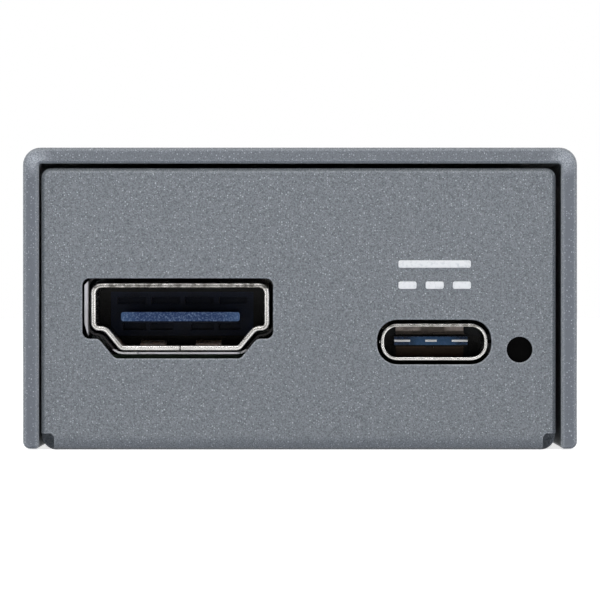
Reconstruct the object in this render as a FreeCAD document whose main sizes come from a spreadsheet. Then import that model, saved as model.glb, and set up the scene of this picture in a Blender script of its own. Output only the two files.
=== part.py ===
import FreeCAD, Part
import os
import re

import Sketcher

# Pocket-size SDI to HDMI converter in a two-piece folded sheet-metal case.
# A low tray carries the circuit board, its two ends folded up as connector plates.
# A deep channel-shaped cover slides down over the tray and is screwed from underneath.
# The plate with the HDMI and USB-C sockets faces -Y; two BNC jacks stick out of the +Y end.
# X runs to the right for someone who faces the HDMI end, and Z is up from the table.
# Every sub-part is drawn with y measured back from the front edge of the cover.

# Driving dimensions in millimetres and degrees: name, value, what it sizes.
SIZES = (
    ("cover_width", 45.8, "outside width of the cover"),
    ("cover_height", 25.0, "height of the closed case"),
    ("cover_length", 72.6, "length of the cover"),
    ("cover_sheet", 1.3, "sheet thickness of the cover with its paint"),
    ("cover_bend", 1.45, "outside radius of the cover's two bends"),
    ("cover_inner_bend", 0.25, "inside radius of the cover's two bends"),
    ("cover_edge", 0.2, "bevel of the cover's cut edges"),
    ("cover_foot", 0.6, "rounding of the cover's lower edges outside"),
    ("cover_lift", 0.1, "height of the cover's lower edges above the table"),
    ("tray_sheet", 1.0, "sheet thickness of the tray"),
    ("tray_bend", 1.2, "outside radius of the tray's bends"),
    ("left_gap", 0.2, "tray to cover on the left"),
    ("right_gap", 0.45, "tray to cover on the right"),
    ("top_gap", 0.4, "end plates to the cover's ceiling"),
    ("plate_recess", 0.4, "end plates set back from the cover's edges"),
    ("plate_corner", 0.8, "radius of the end plates' upper corners"),
    ("plate_edge", 0.3, "bevel round the outer face of the end plates"),
    ("notch_width", 1.05, "width of the relief notch at each lower corner"),
    ("notch_height", 1.35, "height of the relief notch at each lower corner"),
    ("notch_corner", 0.25, "bevel of the relief notch's inner corner"),
    ("relief_gap", 0.35, "slit between an end plate and a side flange"),
    ("flange_height", 7.0, "height of the tray's side flanges"),
    ("standoff_height", 5.3, "board underside above the tray floor"),
    ("standoff_flats", 4.0, "size across the flats of a board standoff"),
    ("board_sheet", 1.6, "thickness of the circuit board"),
    ("board_side_gap", 0.4, "board to the side flanges"),
    ("board_end_gap", 0.6, "board to the end plates"),
    ("standoff_inset", 6.1, "standoff axis in from the cover's side"),
    ("standoff_front", 15.8, "front standoffs back from the cover's front edge"),
    ("standoff_rear", 14.1, "rear standoffs in from the cover's rear edge"),
    ("stud_radius", 1.0, "thread radius of a standoff's stud"),
    ("stud_reach", 0.4, "end of a stud above its nut"),
    ("nut_flats", 4.0, "size across the flats of a board nut"),
    ("nut_height", 1.6, "height of a board nut"),
    ("post_inset", 5.3, "cover post axis in from the cover's side"),
    ("post_flats", 4.0, "size across the flats of a cover post"),
    ("post_thread_depth", 9.0, "depth of the threaded bore in a cover post"),
    ("post_clearance", 0.4, "cover post to the notch in the board"),
    ("cover_screw_radius", 1.25, "thread radius of a cover screw"),
    ("cover_screw_length", 8.0, "overall length of a cover screw"),
    ("sink_radius", 2.2, "radius of the countersink at the tray's underside"),
    ("sink_depth", 0.85, "depth of the countersink"),
    ("screw_sunk", 0.03, "head of a cover screw below the tray's underside"),
    ("screw_clearance", 0.02, "screw to its bore and to its countersink"),
    ("cross_width", 0.5, "slot width of a screw's cross recess"),
    ("cross_reach", 1.0, "half length of a screw's cross recess"),
    ("cross_depth", 0.6, "depth of a screw's cross recess"),
    ("hdmi_inset", 12.98, "HDMI socket axis in from the cover's left side"),
    ("hdmi_rise", 3.12, "HDMI socket axis above the board"),
    ("hdmi_recess", 0.35, "HDMI mouth back from the cover's front edge"),
    ("hdmi_half_width", 7.36, "half width of the HDMI shell outside"),
    ("hdmi_half_height", 2.78, "half height of the HDMI shell outside"),
    ("hdmi_shoulder", 1.15, "shoulders of the HDMI shell below its axis"),
    ("hdmi_low_half", 4.95, "half width of the HDMI shell's floor outside"),
    ("hdmi_slope", 50.4, "slope of the HDMI shell's lower flanks in degrees"),
    ("hdmi_sheet", 0.38, "sheet thickness of the HDMI shell"),
    ("hdmi_corner", 0.85, "outside radius of the HDMI shell's upper corners"),
    ("hdmi_low_corner", 0.65, "outside radius of the HDMI shell's lower corners"),
    ("hdmi_rim", 0.1, "bevel of the HDMI shell's mouth"),
    ("hdmi_depth", 11.2, "depth of the HDMI shell"),
    ("hdmi_cavity", 8.6, "depth of the HDMI socket's open space"),
    ("hdmi_seam", 0.1, "seam in the floor of the HDMI shell"),
    ("hdmi_spring_span", 4.6, "distance between the two spring fingers"),
    ("hdmi_spring_width", 2.1, "width of a spring finger"),
    ("hdmi_spring_length", 5.0, "length of a spring finger"),
    ("hdmi_spring_rise", 0.45, "how far a spring finger stands into the socket"),
    ("hdmi_spring_slit", 0.25, "slit round a spring finger"),
    ("hdmi_spring_start", 1.6, "tip of a spring finger back from the mouth"),
    ("tongue_half_width", 4.92, "half width of the HDMI tongue"),
    ("tongue_half_height", 0.38, "half thickness of the HDMI tongue"),
    ("tongue_recess", 1.2, "HDMI tongue's tip back from the mouth"),
    ("tongue_round", 0.2, "rounding of the HDMI tongue's corners"),
    ("seat_clearance", 0.02, "plastic core to the metal that it sits in"),
    ("hdmi_pocket_pitch", 2.85, "pitch of the mould pockets above the tongue"),
    ("hdmi_pocket_width", 2.35, "width of a mould pocket above the tongue"),
    ("hdmi_pocket_height", 0.52, "height of a mould pocket"),
    ("hdmi_pocket_rise", 1.36, "upper mould pockets above the axis"),
    ("hdmi_pocket_depth", 1.2, "depth of a mould pocket"),
    ("hdmi_low_pocket_inner", 1.72, "inner lower pockets from the axis"),
    ("hdmi_low_pocket_outer", 4.04, "outer lower pockets from the axis"),
    ("hdmi_low_pocket_width", 1.9, "width of a lower mould pocket"),
    ("hdmi_low_pocket_drop", 0.86, "lower mould pockets below the axis"),
    ("shield_side_gap", 0.3, "HDMI shell to its outer shield at the sides"),
    ("shield_top_gap", 0.45, "HDMI shell to its outer shield on top"),
    ("shield_sheet", 0.2, "sheet thickness of the outer shield"),
    ("shield_corner", 1.2, "outside radius of the outer shield's corners"),
    ("shield_flank", 0.2, "radius of the outer shield's inward corners"),
    ("shield_setback", 1.2, "outer shield back from the mouth"),
    ("shield_leg", 1.5, "width of a leg of the outer shield"),
    ("shield_leg_front", 3.0, "front legs of the outer shield back from the mouth"),
    ("shield_leg_rear", 8.6, "rear legs of the outer shield back from the mouth"),
    ("leg_reach", 0.8, "how far solder legs reach through the board"),
    ("leg_clearance", 0.15, "solder leg to its slot in the board"),
    ("window_clearance", 0.54, "HDMI shell to the edge of its window"),
    ("window_left", 0.2, "HDMI window left of the socket's axis"),
    ("window_drop", 0.145, "HDMI window below the socket's axis"),
    ("window_corner", 0.6, "corner radius of the HDMI window"),
    ("hdmi_contact_width", 0.3, "width of an HDMI contact"),
    ("hdmi_contact_sheet", 0.12, "thickness of an HDMI contact"),
    ("hdmi_contact_pitch", 1.0, "pitch of the contacts on one side of the tongue"),
    ("hdmi_contact_tip", 0.4, "contact tip back from the tongue's tip"),
    ("hdmi_contact_foot", 1.2, "length of an HDMI contact's solder foot"),
    ("usb_inset", 11.79, "USB-C socket axis in from the cover's right side"),
    ("usb_rise", 1.02, "USB-C socket axis above the board"),
    ("usb_recess", 0.7, "USB-C mouth back from the cover's front edge"),
    ("usb_half_width", 4.39, "half width of the USB-C shell outside"),
    ("usb_half_height", 1.5, "half height of the USB-C shell outside"),
    ("usb_sheet", 0.22, "sheet thickness of the USB-C shell"),
    ("usb_corner", 1.35, "outside corner radius of the USB-C shell"),
    ("usb_depth", 7.3, "depth of the USB-C shell"),
    ("usb_cavity", 6.0, "depth of the USB-C socket's open space"),
    ("usb_clearance", 0.355, "USB-C shell to the edge of its window"),
    ("usb_board_gap", 0.2, "USB-C shell to the cut-out in the board"),
    ("usb_tongue_half", 3.04, "half width of the USB-C tongue"),
    ("usb_tongue_sheet", 0.7, "thickness of the USB-C tongue"),
    ("usb_tongue_recess", 0.9, "USB-C tongue's tip back from the mouth"),
    ("usb_tongue_left", 0.25, "USB-C tongue left of the shell's axis"),
    ("usb_tongue_lift", 0.1, "USB-C tongue above the shell's axis"),
    ("usb_contact_tip", 0.6, "contact tip back from the USB-C tongue's tip"),
    ("usb_root_sheet", 1.0, "thickness of the tongue's root"),
    ("usb_root_length", 2.0, "length of the tongue's root"),
    ("usb_plate_sheet", 0.16, "thickness of the tongue's middle plate"),
    ("usb_plate_relief", 1.26, "width of each gap in the middle plate's tip"),
    ("usb_plate_step", 1.1, "each gap in the middle plate's tip from the centre"),
    ("ground_half_width", 2.84, "half width of a ground plate"),
    ("ground_sheet", 0.12, "thickness of a ground plate"),
    ("ground_split", 0.62, "split in the middle of a ground plate"),
    ("usb_contact_width", 0.25, "width of a USB-C contact"),
    ("usb_contact_sheet", 0.1, "thickness of a USB-C contact"),
    ("usb_contact_pitch", 0.5, "pitch of the USB-C contacts"),
    ("usb_contact_foot", 0.8, "length of a USB-C contact's solder foot"),
    ("usb_leg_reach", 0.8, "USB-C shell's legs out from its side"),
    ("usb_leg_width", 1.1, "width of a USB-C shell leg"),
    ("usb_leg_front", 2.9, "front legs of the USB-C shell back from the mouth"),
    ("usb_leg_rear", 5.7, "rear legs of the USB-C shell back from the mouth"),
    ("led_inset", 4.73, "status light axis in from the cover's right side"),
    ("led_rise", 0.39, "status light axis above the board"),
    ("led_hole_radius", 1.08, "radius of the status light's hole"),
    ("led_setback", 3.9, "status light's lens back from the end plate"),
    ("led_width", 2.6, "width of the status light"),
    ("led_height", 1.6, "height of the status light's body"),
    ("led_depth", 1.1, "depth of the status light's body"),
    ("led_lens_width", 2.2, "width of the status light's lens"),
    ("led_lens_reach", 0.5, "how far the lens stands out of its body"),
    ("jack_spacing", 20.0, "distance between the two BNC jacks"),
    ("jack_rise", 5.3, "axis of the BNC jacks above the board"),
    ("jack_proud", 11.7, "mouths of the BNC jacks beyond the cover"),
    ("barrel_radius", 4.8, "outside radius of a BNC barrel"),
    ("barrel_bore", 4.06, "bore radius of a BNC barrel"),
    ("barrel_bore_depth", 8.9, "depth of a BNC barrel's bore"),
    ("barrel_edge", 0.3, "chamfer at the mouth of a BNC barrel"),
    ("lug_radius", 1.0, "radius of a bayonet lug"),
    ("lug_reach", 5.5, "outer end of a bayonet lug from the barrel's axis"),
    ("lug_setback", 5.0, "bayonet lug's axis back from the mouth"),
    ("collar_radius", 6.2, "radius of the collar that fills the panel hole"),
    ("collar_proud", 0.8, "collar beyond the cover's rear edge"),
    ("collar_clearance", 0.3, "collar to its hole in the end plate"),
    ("block_width", 14.2, "width of a BNC jack's block"),
    ("block_height", 11.9, "height of a BNC jack's block"),
    ("block_depth", 9.0, "depth of a BNC jack's block"),
    ("block_gap", 0.3, "block to the inside of the end plate"),
    ("block_edge", 0.5, "rounding of the block's upright and top edges"),
    ("dielectric_radius", 2.6, "radius of the white insulator in a jack"),
    ("dielectric_proud", 0.6, "insulator above the floor of the bore"),
    ("pin_radius", 1.1, "outside radius of the centre contact"),
    ("pin_bore", 0.69, "bore radius of the centre contact"),
    ("pin_bore_depth", 4.5, "depth of the centre contact's bore"),
    ("pin_setback", 3.5, "centre contact's tip back from the mouth"),
    ("pin_slot", 0.25, "slot across the centre contact's tip"),
    ("pin_slot_depth", 3.0, "depth of that slot"),
    ("tail_side", 0.8, "side of a jack's signal pin"),
    ("tail_setback", 6.5, "signal pin back from the block's outer face"),
    ("peg_span", 10.16, "distance between a block's ground pegs"),
    ("peg_side", 0.8, "side of a ground peg"),
    ("processor_size", 17.0, "side of the video processor"),
    ("processor_height", 1.5, "height of the video processor"),
    ("processor_edge", 0.6, "rim of the processor's base round its cap"),
    ("pad_size", 15.0, "side of the thermal pad"),
    ("chip_height", 0.9, "height of the flat chips"),
    ("driver_size", 5.0, "side of the HDMI driver"),
    ("driver_back", 6.5, "middle of the HDMI driver behind the socket"),
    ("sdi_driver_size", 4.0, "side of the SDI output driver"),
    ("receiver_size", 8.0, "side of the SDI receiver"),
    ("receiver_inset", 20.0, "SDI chips in from the cover's rear edge"),
    ("regulator_size", 3.0, "side of the power regulator"),
    ("regulator_left", 3.0, "power regulator left of the USB-C axis"),
    ("regulator_back", 12.0, "middle of the power regulator behind the socket"),
    ("crystal_length", 3.2, "length of the clock crystal"),
    ("crystal_width", 2.5, "width of the clock crystal"),
    ("crystal_inset", 10.9, "clock crystal in from the cover's right side"),
    ("surge_length", 2.5, "length of a surge protector"),
    ("surge_width", 1.0, "width of a surge protector"),
    ("surge_height", 0.6, "height of a surge protector"),
    ("surge_pitch", 3.0, "pitch of the surge protectors"),
    ("surge_back", 2.9, "surge protectors behind the HDMI socket"),
    ("inductor_size", 4.0, "side of a power inductor"),
    ("inductor_height", 2.0, "height of a power inductor"),
    ("inductor_pitch", 5.0, "pitch of the power inductors"),
    ("inductor_left", 5.5, "first power inductor left of the USB-C axis"),
    ("inductor_back", 7.0, "power inductors behind the USB-C socket"),
    ("bulk_length", 3.5, "length of a bulk capacitor"),
    ("bulk_width", 2.8, "width of a bulk capacitor"),
    ("bulk_height", 1.9, "height of a bulk capacitor"),
    ("bulk_pitch", 4.4, "pitch of the bulk capacitors"),
    ("bulk_left", 7.5, "first bulk capacitor left of the USB-C axis"),
    ("bulk_back", 16.5, "bulk capacitors behind the USB-C socket"),
    ("ceramic_length", 1.6, "length of a ceramic capacitor"),
    ("ceramic_width", 0.8, "width and height of a ceramic capacitor"),
    ("ceramic_pitch", 2.2, "pitch of the ceramic capacitors in a column"),
    ("ceramic_span", 6.4, "distance between the two columns"),
    ("resistor_length", 1.0, "length of a chip resistor"),
    ("resistor_width", 0.5, "width of a chip resistor"),
    ("resistor_height", 0.35, "height of a chip resistor"),
    ("resistor_pitch", 1.3, "pitch of the chip resistors in a column"),
    ("resistor_inset", 15.2, "first resistors in from the cover's rear edge"),
    ("memory_inset", 10.9, "memory chip in from the cover's left side"),
    ("memory_forward", 5.0, "memory chip in front of the case's middle"),
    ("memory_width", 3.9, "width of the memory chip without its legs"),
    ("memory_length", 4.9, "length of the memory chip"),
    ("memory_height", 1.4, "height of the memory chip's case"),
    ("memory_lift", 0.15, "memory chip's case above the board"),
    ("memory_pitch", 1.27, "pitch of the memory chip's legs"),
    ("memory_lead_width", 0.42, "width of a leg"),
    ("memory_lead_sheet", 0.2, "thickness of a leg"),
    ("memory_knee", 0.45, "bend of a leg out from the case"),
    ("memory_toe", 1.05, "end of a leg out from the case"),
)

# Places along the case, measured back from the front edge of the cover.
FRONT_PLATE = "plate_recess"
REAR_PLATE = "(cover_length - plate_recess)"
MOUTH_END = "(cover_length + jack_proud)"

# The origin lies below the middle of the whole length, jacks included.
SHIFT = "-(cover_length + jack_proud) / 2"

# Places across the case, with the tray's own play inside the cover.
SIDE = "(cover_width / 2)"
TRAY_LEFT = f"(-{SIDE} + cover_sheet + left_gap)"
TRAY_RIGHT = f"({SIDE} - cover_sheet - right_gap)"
HDMI_X = f"(-{SIDE} + hdmi_inset)"
USB_X = f"({SIDE} - usb_inset)"
LED_X = f"({SIDE} - led_inset)"
JACKS = (("sdi_in", "(-jack_spacing / 2)"), ("sdi_out", "(jack_spacing / 2)"))

# Heights above the table.
CEILING = "(cover_height - cover_sheet)"
PLATE_TOP = f"({CEILING} - top_gap)"
BOARD_LOW = "(tray_sheet + standoff_height)"
BOARD_TOP = f"({BOARD_LOW} + board_sheet)"
HDMI_Z = f"({BOARD_TOP} + hdmi_rise)"
USB_Z = f"({BOARD_TOP} + usb_rise)"
LED_Z = f"({BOARD_TOP} + led_rise)"
JACK_Z = f"({BOARD_TOP} + jack_rise)"

# Four standoffs stand near the board's corners, and two cover posts at half the length.
STANDOFF_X = f"({SIDE} - standoff_inset)"
STANDOFF_REAR = "(cover_length - standoff_rear)"
POST_X = f"({SIDE} - post_inset)"
POST_Y = "(cover_length / 2)"

# What solder legs and pins pass through, down to their ends below the board.
LEG_DROP = "(board_sheet + leg_reach)"

# Where the two rows of USB-C contacts come down to the board, behind the socket's mouth.
USB_NEAR_TAIL = "usb_depth"
USB_FAR_TAIL = "(usb_depth + usb_contact_foot + usb_contact_pitch)"

# A jack's collar, block, signal pin and ground pegs, measured in from the jack's mouth.
COLLAR_FACE = "(jack_proud - collar_proud)"
BLOCK_FACE = "(jack_proud + plate_recess + tray_sheet + block_gap)"
TAIL_DEPTH = f"({BLOCK_FACE} + tail_setback)"
PEG_DEPTHS = (f"({BLOCK_FACE} + block_depth / 6)", f"({BLOCK_FACE} + block_depth * 5 / 6)")

# The way that a sketch on each plane faces.
NORMALS = {"XY_Plane": "+z", "XZ_Plane": "-y", "YZ_Plane": "+x"}

doc = FreeCAD.newDocument("Converter")
sheet = doc.addObject("Spreadsheet::Sheet", "Sizes")
for row, (alias, size, note) in enumerate(SIZES, start=1):
    sheet.set(f"A{row}", alias)
    sheet.set(f"B{row}", str(size))
    sheet.set(f"C{row}", note)
    sheet.setAlias(f"B{row}", alias)
doc.recompute()

nodes = []


def bound(formula):
    """Points each size named in a formula at its cell in the sheet."""
    return re.sub(r"\b[a-z]+(?:_[a-z]+)+\b", lambda name: "Sizes." + name.group(0), formula)


def value(formula):
    """Works a formula out to a number."""
    return float(sheet.evalExpression(bound(formula)))


def place(feature, x="0", y="0", z="0"):
    """Places a sub-part: x and z from the origin, y from the front edge of the cover."""
    feature.setExpression("Placement.Base.x", bound(x))
    feature.setExpression("Placement.Base.y", bound(f"{SHIFT} + {y}"))
    feature.setExpression("Placement.Base.z", bound(z))


def new_body(label):
    """Starts a sub-part made of sketches and features."""
    body = doc.addObject("PartDesign::Body", label)
    body.Label = label
    nodes.append(body)
    return body


def own(body, role):
    """Finds one of a body's own planes or axes."""
    return next(feature for feature in body.Origin.OriginFeatures if feature.Role == role)


def new_sketch(body, role, height="0"):
    """Adds a sketch parallel to a body's own plane, at a height along the axis across it."""
    sketch = body.newObject("Sketcher::SketchObject", body.Label + "_sketch")
    sketch.AttachmentSupport = [(own(body, role), "")]
    sketch.MapMode = "FlatFace"
    sign = "-" if NORMALS[role].startswith("-") else ""
    sketch.setExpression("AttachmentOffset.Base.z", bound(f"{sign}({height})"))
    return sketch


def set_point(sketch, geometry, position, x, y):
    """Ties one point of a sketch to two formulas."""
    for kind, formula in (("DistanceX", x), ("DistanceY", y)):
        constraint = Sketcher.Constraint(kind, geometry, position, value(formula))
        index = sketch.addConstraint(constraint)
        sketch.setExpression(f"Constraints[{index}]", bound(formula))


def outline(sketch, corners):
    """Draws a closed outline of straight lines through corners given as formulas."""
    first = sketch.GeometryCount
    spots = [FreeCAD.Vector(value(x), value(y), 0) for x, y in corners]
    for start, end in zip(spots, spots[1:] + spots[:1]):
        sketch.addGeometry(Part.LineSegment(start, end), False)
    for index in range(len(corners)):
        following = first + (index + 1) % len(corners)
        sketch.addConstraint(Sketcher.Constraint("Coincident", first + index, 2, following, 1))
    for index, (x, y) in enumerate(corners):
        set_point(sketch, first + index, 1, x, y)


def rectangle(sketch, left, low, right, high):
    """Draws an upright rectangle between two opposite corners."""
    outline(sketch, ((left, low), (right, low), (right, high), (left, high)))


def centred(sketch, x, y, half_width, half_height):
    """Draws a rectangle about its middle."""
    low, high = f"{y} - {half_height}", f"{y} + {half_height}"
    rectangle(sketch, f"{x} - {half_width}", low, f"{x} + {half_width}", high)


def circle(sketch, x, y, radius):
    """Draws a circle whose centre and radius are formulas."""
    centre = FreeCAD.Vector(value(x), value(y), 0)
    ring = Part.Circle(centre, FreeCAD.Vector(0, 0, 1), value(radius))
    geometry = sketch.addGeometry(ring, False)
    index = sketch.addConstraint(Sketcher.Constraint("Radius", geometry, value(radius)))
    sketch.setExpression(f"Constraints[{index}]", bound(radius))
    set_point(sketch, geometry, 3, x, y)


def extrude(body, kind, sketch, length, reversed_way, midplane):
    """Adds a Pad or a Pocket of a sketch, which becomes the tip of the body."""
    feature = body.newObject("PartDesign::" + kind, f"{body.Label}_{kind.lower()}")
    feature.Profile = sketch
    feature.Reversed = reversed_way
    feature.Midplane = midplane
    feature.setExpression("Length", bound(length))
    return feature


def pad(body, sketch, length, towards):
    """Grows a sketch into the body, one way along an axis or "both" ways at once."""
    normal = NORMALS[sketch.AttachmentSupport[0][0].Role]
    both = towards == "both"
    return extrude(body, "Pad", sketch, length, not both and towards != normal, both)


def pocket(body, sketch, length, towards):
    """Cuts a sketch out of the body and makes sure that this removes something."""
    doc.recompute()
    before = body.Shape.Volume
    normal = NORMALS[sketch.AttachmentSupport[0][0].Role]
    both = towards == "both"
    feature = extrude(body, "Pocket", sketch, length, not both and towards == normal, both)
    doc.recompute()
    if body.Shape.Volume >= before:
        raise RuntimeError(f"{feature.Name} cuts nothing")
    return feature


def revolve(body, role, sketch):
    """Turns a sketch once round one of the body's own axes."""
    feature = body.newObject("PartDesign::Revolution", body.Label + "_turn")
    feature.Profile = sketch
    feature.ReferenceAxis = (own(body, role), [""])
    feature.Angle = 360
    return feature


def repeat(body, count, length, second_count=1, second_length="0"):
    """Repeats the whole body in a row along X, or in a grid along X and Y."""
    doc.recompute()
    pattern = body.newObject("PartDesign::LinearPattern", body.Label + "_row")
    pattern.TransformMode = "Whole shape"
    pattern.Direction = (own(body, "X_Axis"), [""])
    pattern.Occurrences = count
    pattern.setExpression("Length", bound(length))
    if second_count > 1:
        pattern.Direction2 = (own(body, "Y_Axis"), [""])
        pattern.Occurrences2 = second_count
        pattern.setExpression("Length2", bound(second_length))
    body.Tip = pattern


def dress(body, kind, formula, chosen):
    """Rounds (Fillet) or bevels (Chamfer) the edges of the body's tip that chosen accepts."""
    doc.recompute()
    tip = body.Tip
    numbered = enumerate(tip.Shape.Edges, start=1)
    edges = [f"Edge{number}" for number, edge in numbered if chosen(edge)]
    if not edges:
        raise RuntimeError(f"{body.Label} has no edge to dress")
    feature = body.newObject("PartDesign::" + kind, f"{body.Label}_{kind.lower()}")
    feature.Base = (tip, edges)
    feature.setExpression("Radius" if kind == "Fillet" else "Size", bound(formula))


def hollow(body, wall):
    """Leaves only a wall of a block, open at its front and back ends along y."""
    doc.recompute()
    tip = body.Tip
    limits = tip.Shape.BoundBox
    ends = []
    for number, face in enumerate(tip.Shape.Faces, start=1):
        if near(face.BoundBox.YLength, 0) and at(face, 1, limits.YMin, limits.YMax):
            ends.append(f"Face{number}")
    feature = body.newObject("PartDesign::Thickness", body.Label + "_wall")
    feature.Base = (tip, ends)
    feature.Reversed = True
    feature.setExpression("Value", bound(wall))


def near(first, second):
    """Tells whether two lengths are the same on a drawing."""
    return abs(first - second) < 1e-4


def along(edge, axis):
    """Tells whether an edge is straight and parallel to an axis: 0 for x, 1 for y, 2 for z."""
    limits = edge.BoundBox
    spans = (limits.XLength, limits.YLength, limits.ZLength)
    return all((index == axis) != near(span, 0) for index, span in enumerate(spans))


def at(edge, axis, *places):
    """Tells whether a whole edge lies at one of the given places along an axis."""
    limits = edge.BoundBox
    lows = (limits.XMin, limits.YMin, limits.ZMin)
    highs = (limits.XMax, limits.YMax, limits.ZMax)
    return any(near(lows[axis], spot) and near(highs[axis], spot) for spot in places)


def across_plate(*corners):
    """Picks the edges along y that pass through one of the corners, given as x and z."""
    spots = [(value(x), value(z)) for x, z in corners]

    def chosen(edge):
        """Tells whether an edge is one of them."""
        return along(edge, 1) and any(at(edge, 0, x) and at(edge, 2, z) for x, z in spots)

    return chosen


def upright(*corners):
    """Picks the edges along z that pass through one of the corners, given as x and y."""
    spots = [(value(x), value(y)) for x, y in corners]

    def chosen(edge):
        """Tells whether an edge is one of them."""
        return along(edge, 2) and any(at(edge, 0, x) and at(edge, 1, y) for x, y in spots)

    return chosen


def box(name, x, y, z, length, width, height):
    """Makes a box of the given size: x and y of its middle, z of its underside."""
    feature = doc.addObject("Part::Box", name)
    for side, formula in (("Length", length), ("Width", width), ("Height", height)):
        feature.setExpression(side, bound(formula))
    place(feature, f"{x} - {length} / 2", f"{y} - {width} / 2", z)
    feature.Label = name
    nodes.append(feature)
    return feature


def cut(base, *tools):
    """Takes neighbours' shapes out of a sub-part, so that they meet it face to face."""
    label = base.Label
    nodes.remove(base)
    base.Label = label + "_blank"
    result = base
    for tool in tools:
        feature = doc.addObject("Part::Cut", label + "_cut")
        feature.Base = result
        feature.Tool = tool
        result = feature
    result.Label = label
    nodes.append(result)
    return result


def build_cover():
    """Channel-shaped cover: two sides and a top from one sheet, with tight bends."""
    body = new_body("top_cover")
    section = new_sketch(body, "XZ_Plane")
    inner = f"({SIDE} - cover_sheet)"
    corners = [
        (SIDE, "cover_height"),
        (SIDE, "cover_lift"),
        (inner, "cover_lift"),
        (inner, CEILING),
    ]
    corners += [("-" + x, z) for x, z in reversed(corners)]
    outline(section, corners)
    pad(body, section, "cover_length", "+y")
    outer = ((SIDE, "cover_height"), ("-" + SIDE, "cover_height"))
    dress(body, "Fillet", "cover_bend", across_plate(*outer))
    dress(body, "Fillet", "cover_inner_bend", across_plate((inner, CEILING), ("-" + inner, CEILING)))
    feet = ((SIDE, "cover_lift"), ("-" + SIDE, "cover_lift"))
    dress(body, "Fillet", "cover_foot", across_plate(*feet))
    lower = across_plate((inner, "cover_lift"), ("-" + inner, "cover_lift"))
    back = value("cover_length")
    dress(body, "Chamfer", "cover_edge", lambda edge: at(edge, 1, 0, back) or lower(edge))
    place(body)


def hdmi_corners(grow, drop="0", lift="0"):
    """Gives the four right-hand corners of the HDMI shape grown outwards all round.

    They run from the floor up: end of the floor, foot of the shoulder, end of the shoulder
    and top. Growing also moves the sloping flanks' ends sideways. drop lowers the floor
    alone and lift raises the top alone.
    """
    shoulder = f"(hdmi_shoulder + {grow})"
    floor = f"(hdmi_half_height + {grow} + {drop})"
    low_half = f"(hdmi_low_half + {grow} * tan(hdmi_slope / 2) - {drop} / tan(hdmi_slope))"
    flank = f"({low_half} + ({floor} - {shoulder}) / tan(hdmi_slope))"
    wide = f"(hdmi_half_width + {grow})"
    high = f"(hdmi_half_height + {grow} + {lift})"
    return (low_half, "-" + floor), (flank, "-" + shoulder), (wide, "-" + shoulder), (wide, high)


def moved(corners, x, z):
    """Sets right-hand corners and their mirror images about an axis at x and z."""
    right = [(f"{x} + {across}", f"{z} + {up}") for across, up in corners]
    left = [(f"{x} - {across}", f"{z} + {up}") for across, up in reversed(corners)]
    return right + left


def hdmi_block(body, start, length, grow, radii, drop="0", lift="0"):
    """Pads the HDMI shape from y = start backwards and rounds its corners.

    radii are those of the top corners, of the shoulders and floor, and of the inward corners.
    """
    corners = hdmi_corners(grow, drop, lift)
    sketch = new_sketch(body, "XZ_Plane", start)
    outline(sketch, moved(corners, "0", "0"))
    pad(body, sketch, length, "+y")
    floor, flank, shoulder, top = (moved([corner], "0", "0") for corner in corners)
    top_radius, low_radius, flank_radius = radii
    dress(body, "Fillet", top_radius, across_plate(*top))
    dress(body, "Fillet", low_radius, across_plate(*floor, *shoulder))
    dress(body, "Fillet", flank_radius, across_plate(*flank))


def build_tray():
    """Folded tray: floor, two low side flanges and two tall end plates with the openings."""
    body = new_body("base_tray")
    blank = new_sketch(body, "XY_Plane")
    rectangle(blank, TRAY_LEFT, FRONT_PLATE, TRAY_RIGHT, REAR_PLATE)
    pad(body, blank, PLATE_TOP, "+z")
    dress(body, "Fillet", "tray_bend", lambda edge: at(edge, 2, 0))

    inside = new_sketch(body, "XY_Plane", PLATE_TOP)
    inner_front = f"({FRONT_PLATE} + tray_sheet)"
    inner_rear = f"({REAR_PLATE} - tray_sheet)"
    inner_left, inner_right = f"{TRAY_LEFT} + tray_sheet", f"{TRAY_RIGHT} - tray_sheet"
    rectangle(inside, inner_left, inner_front, inner_right, inner_rear)
    pocket(body, inside, f"{PLATE_TOP} - tray_sheet", "-z")
    floor = value("tray_sheet")
    dress(body, "Fillet", "tray_bend - tray_sheet", lambda edge: at(edge, 2, floor))

    # The sides are cut down to flanges, with a slit beside each end plate.
    above, below = f"({PLATE_TOP} + tray_sheet)", "-tray_sheet"
    for side, towards in ((TRAY_LEFT, "+x"), (TRAY_RIGHT, "-x")):
        flank = new_sketch(body, "YZ_Plane", side)
        front_slit = f"{inner_front} + relief_gap"
        rear_slit = f"{inner_rear} - relief_gap"
        lower = [(inner_front, below), (front_slit, below), (front_slit, "flange_height")]
        lower += [(rear_slit, "flange_height"), (rear_slit, below), (inner_rear, below)]
        outline(flank, lower + [(inner_rear, above), (inner_front, above)])
        pocket(body, flank, "notch_width", towards)

    # Each lower corner of the end plates has its relief notch.
    for plate, towards in ((FRONT_PLATE, "+y"), (REAR_PLATE, "-y")):
        notches = new_sketch(body, "XZ_Plane", plate)
        for side, inward in ((TRAY_LEFT, "+"), (TRAY_RIGHT, "-")):
            deep = f"{side} {inward} notch_width"
            blunt = f"{side} {inward} (notch_width - notch_corner)"
            notch = [(side, "-notch_height"), (deep, "-notch_height")]
            notch += [(deep, "notch_height - notch_corner"), (blunt, "notch_height")]
            outline(notches, notch + [(side, "notch_height")])
        pocket(body, notches, "tray_sheet + relief_gap", towards)

    corners = ((TRAY_LEFT, PLATE_TOP), (TRAY_RIGHT, PLATE_TOP))
    dress(body, "Fillet", "plate_corner", across_plate(*corners))
    front, back = value(FRONT_PLATE), value(REAR_PLATE)
    notch = value("notch_height")
    dress(
        body,
        "Chamfer",
        "plate_edge",
        lambda edge: at(edge, 1, front, back) and edge.BoundBox.ZMax > 2 * notch,
    )
    cut_tray_openings(body)
    place(body)


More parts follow.
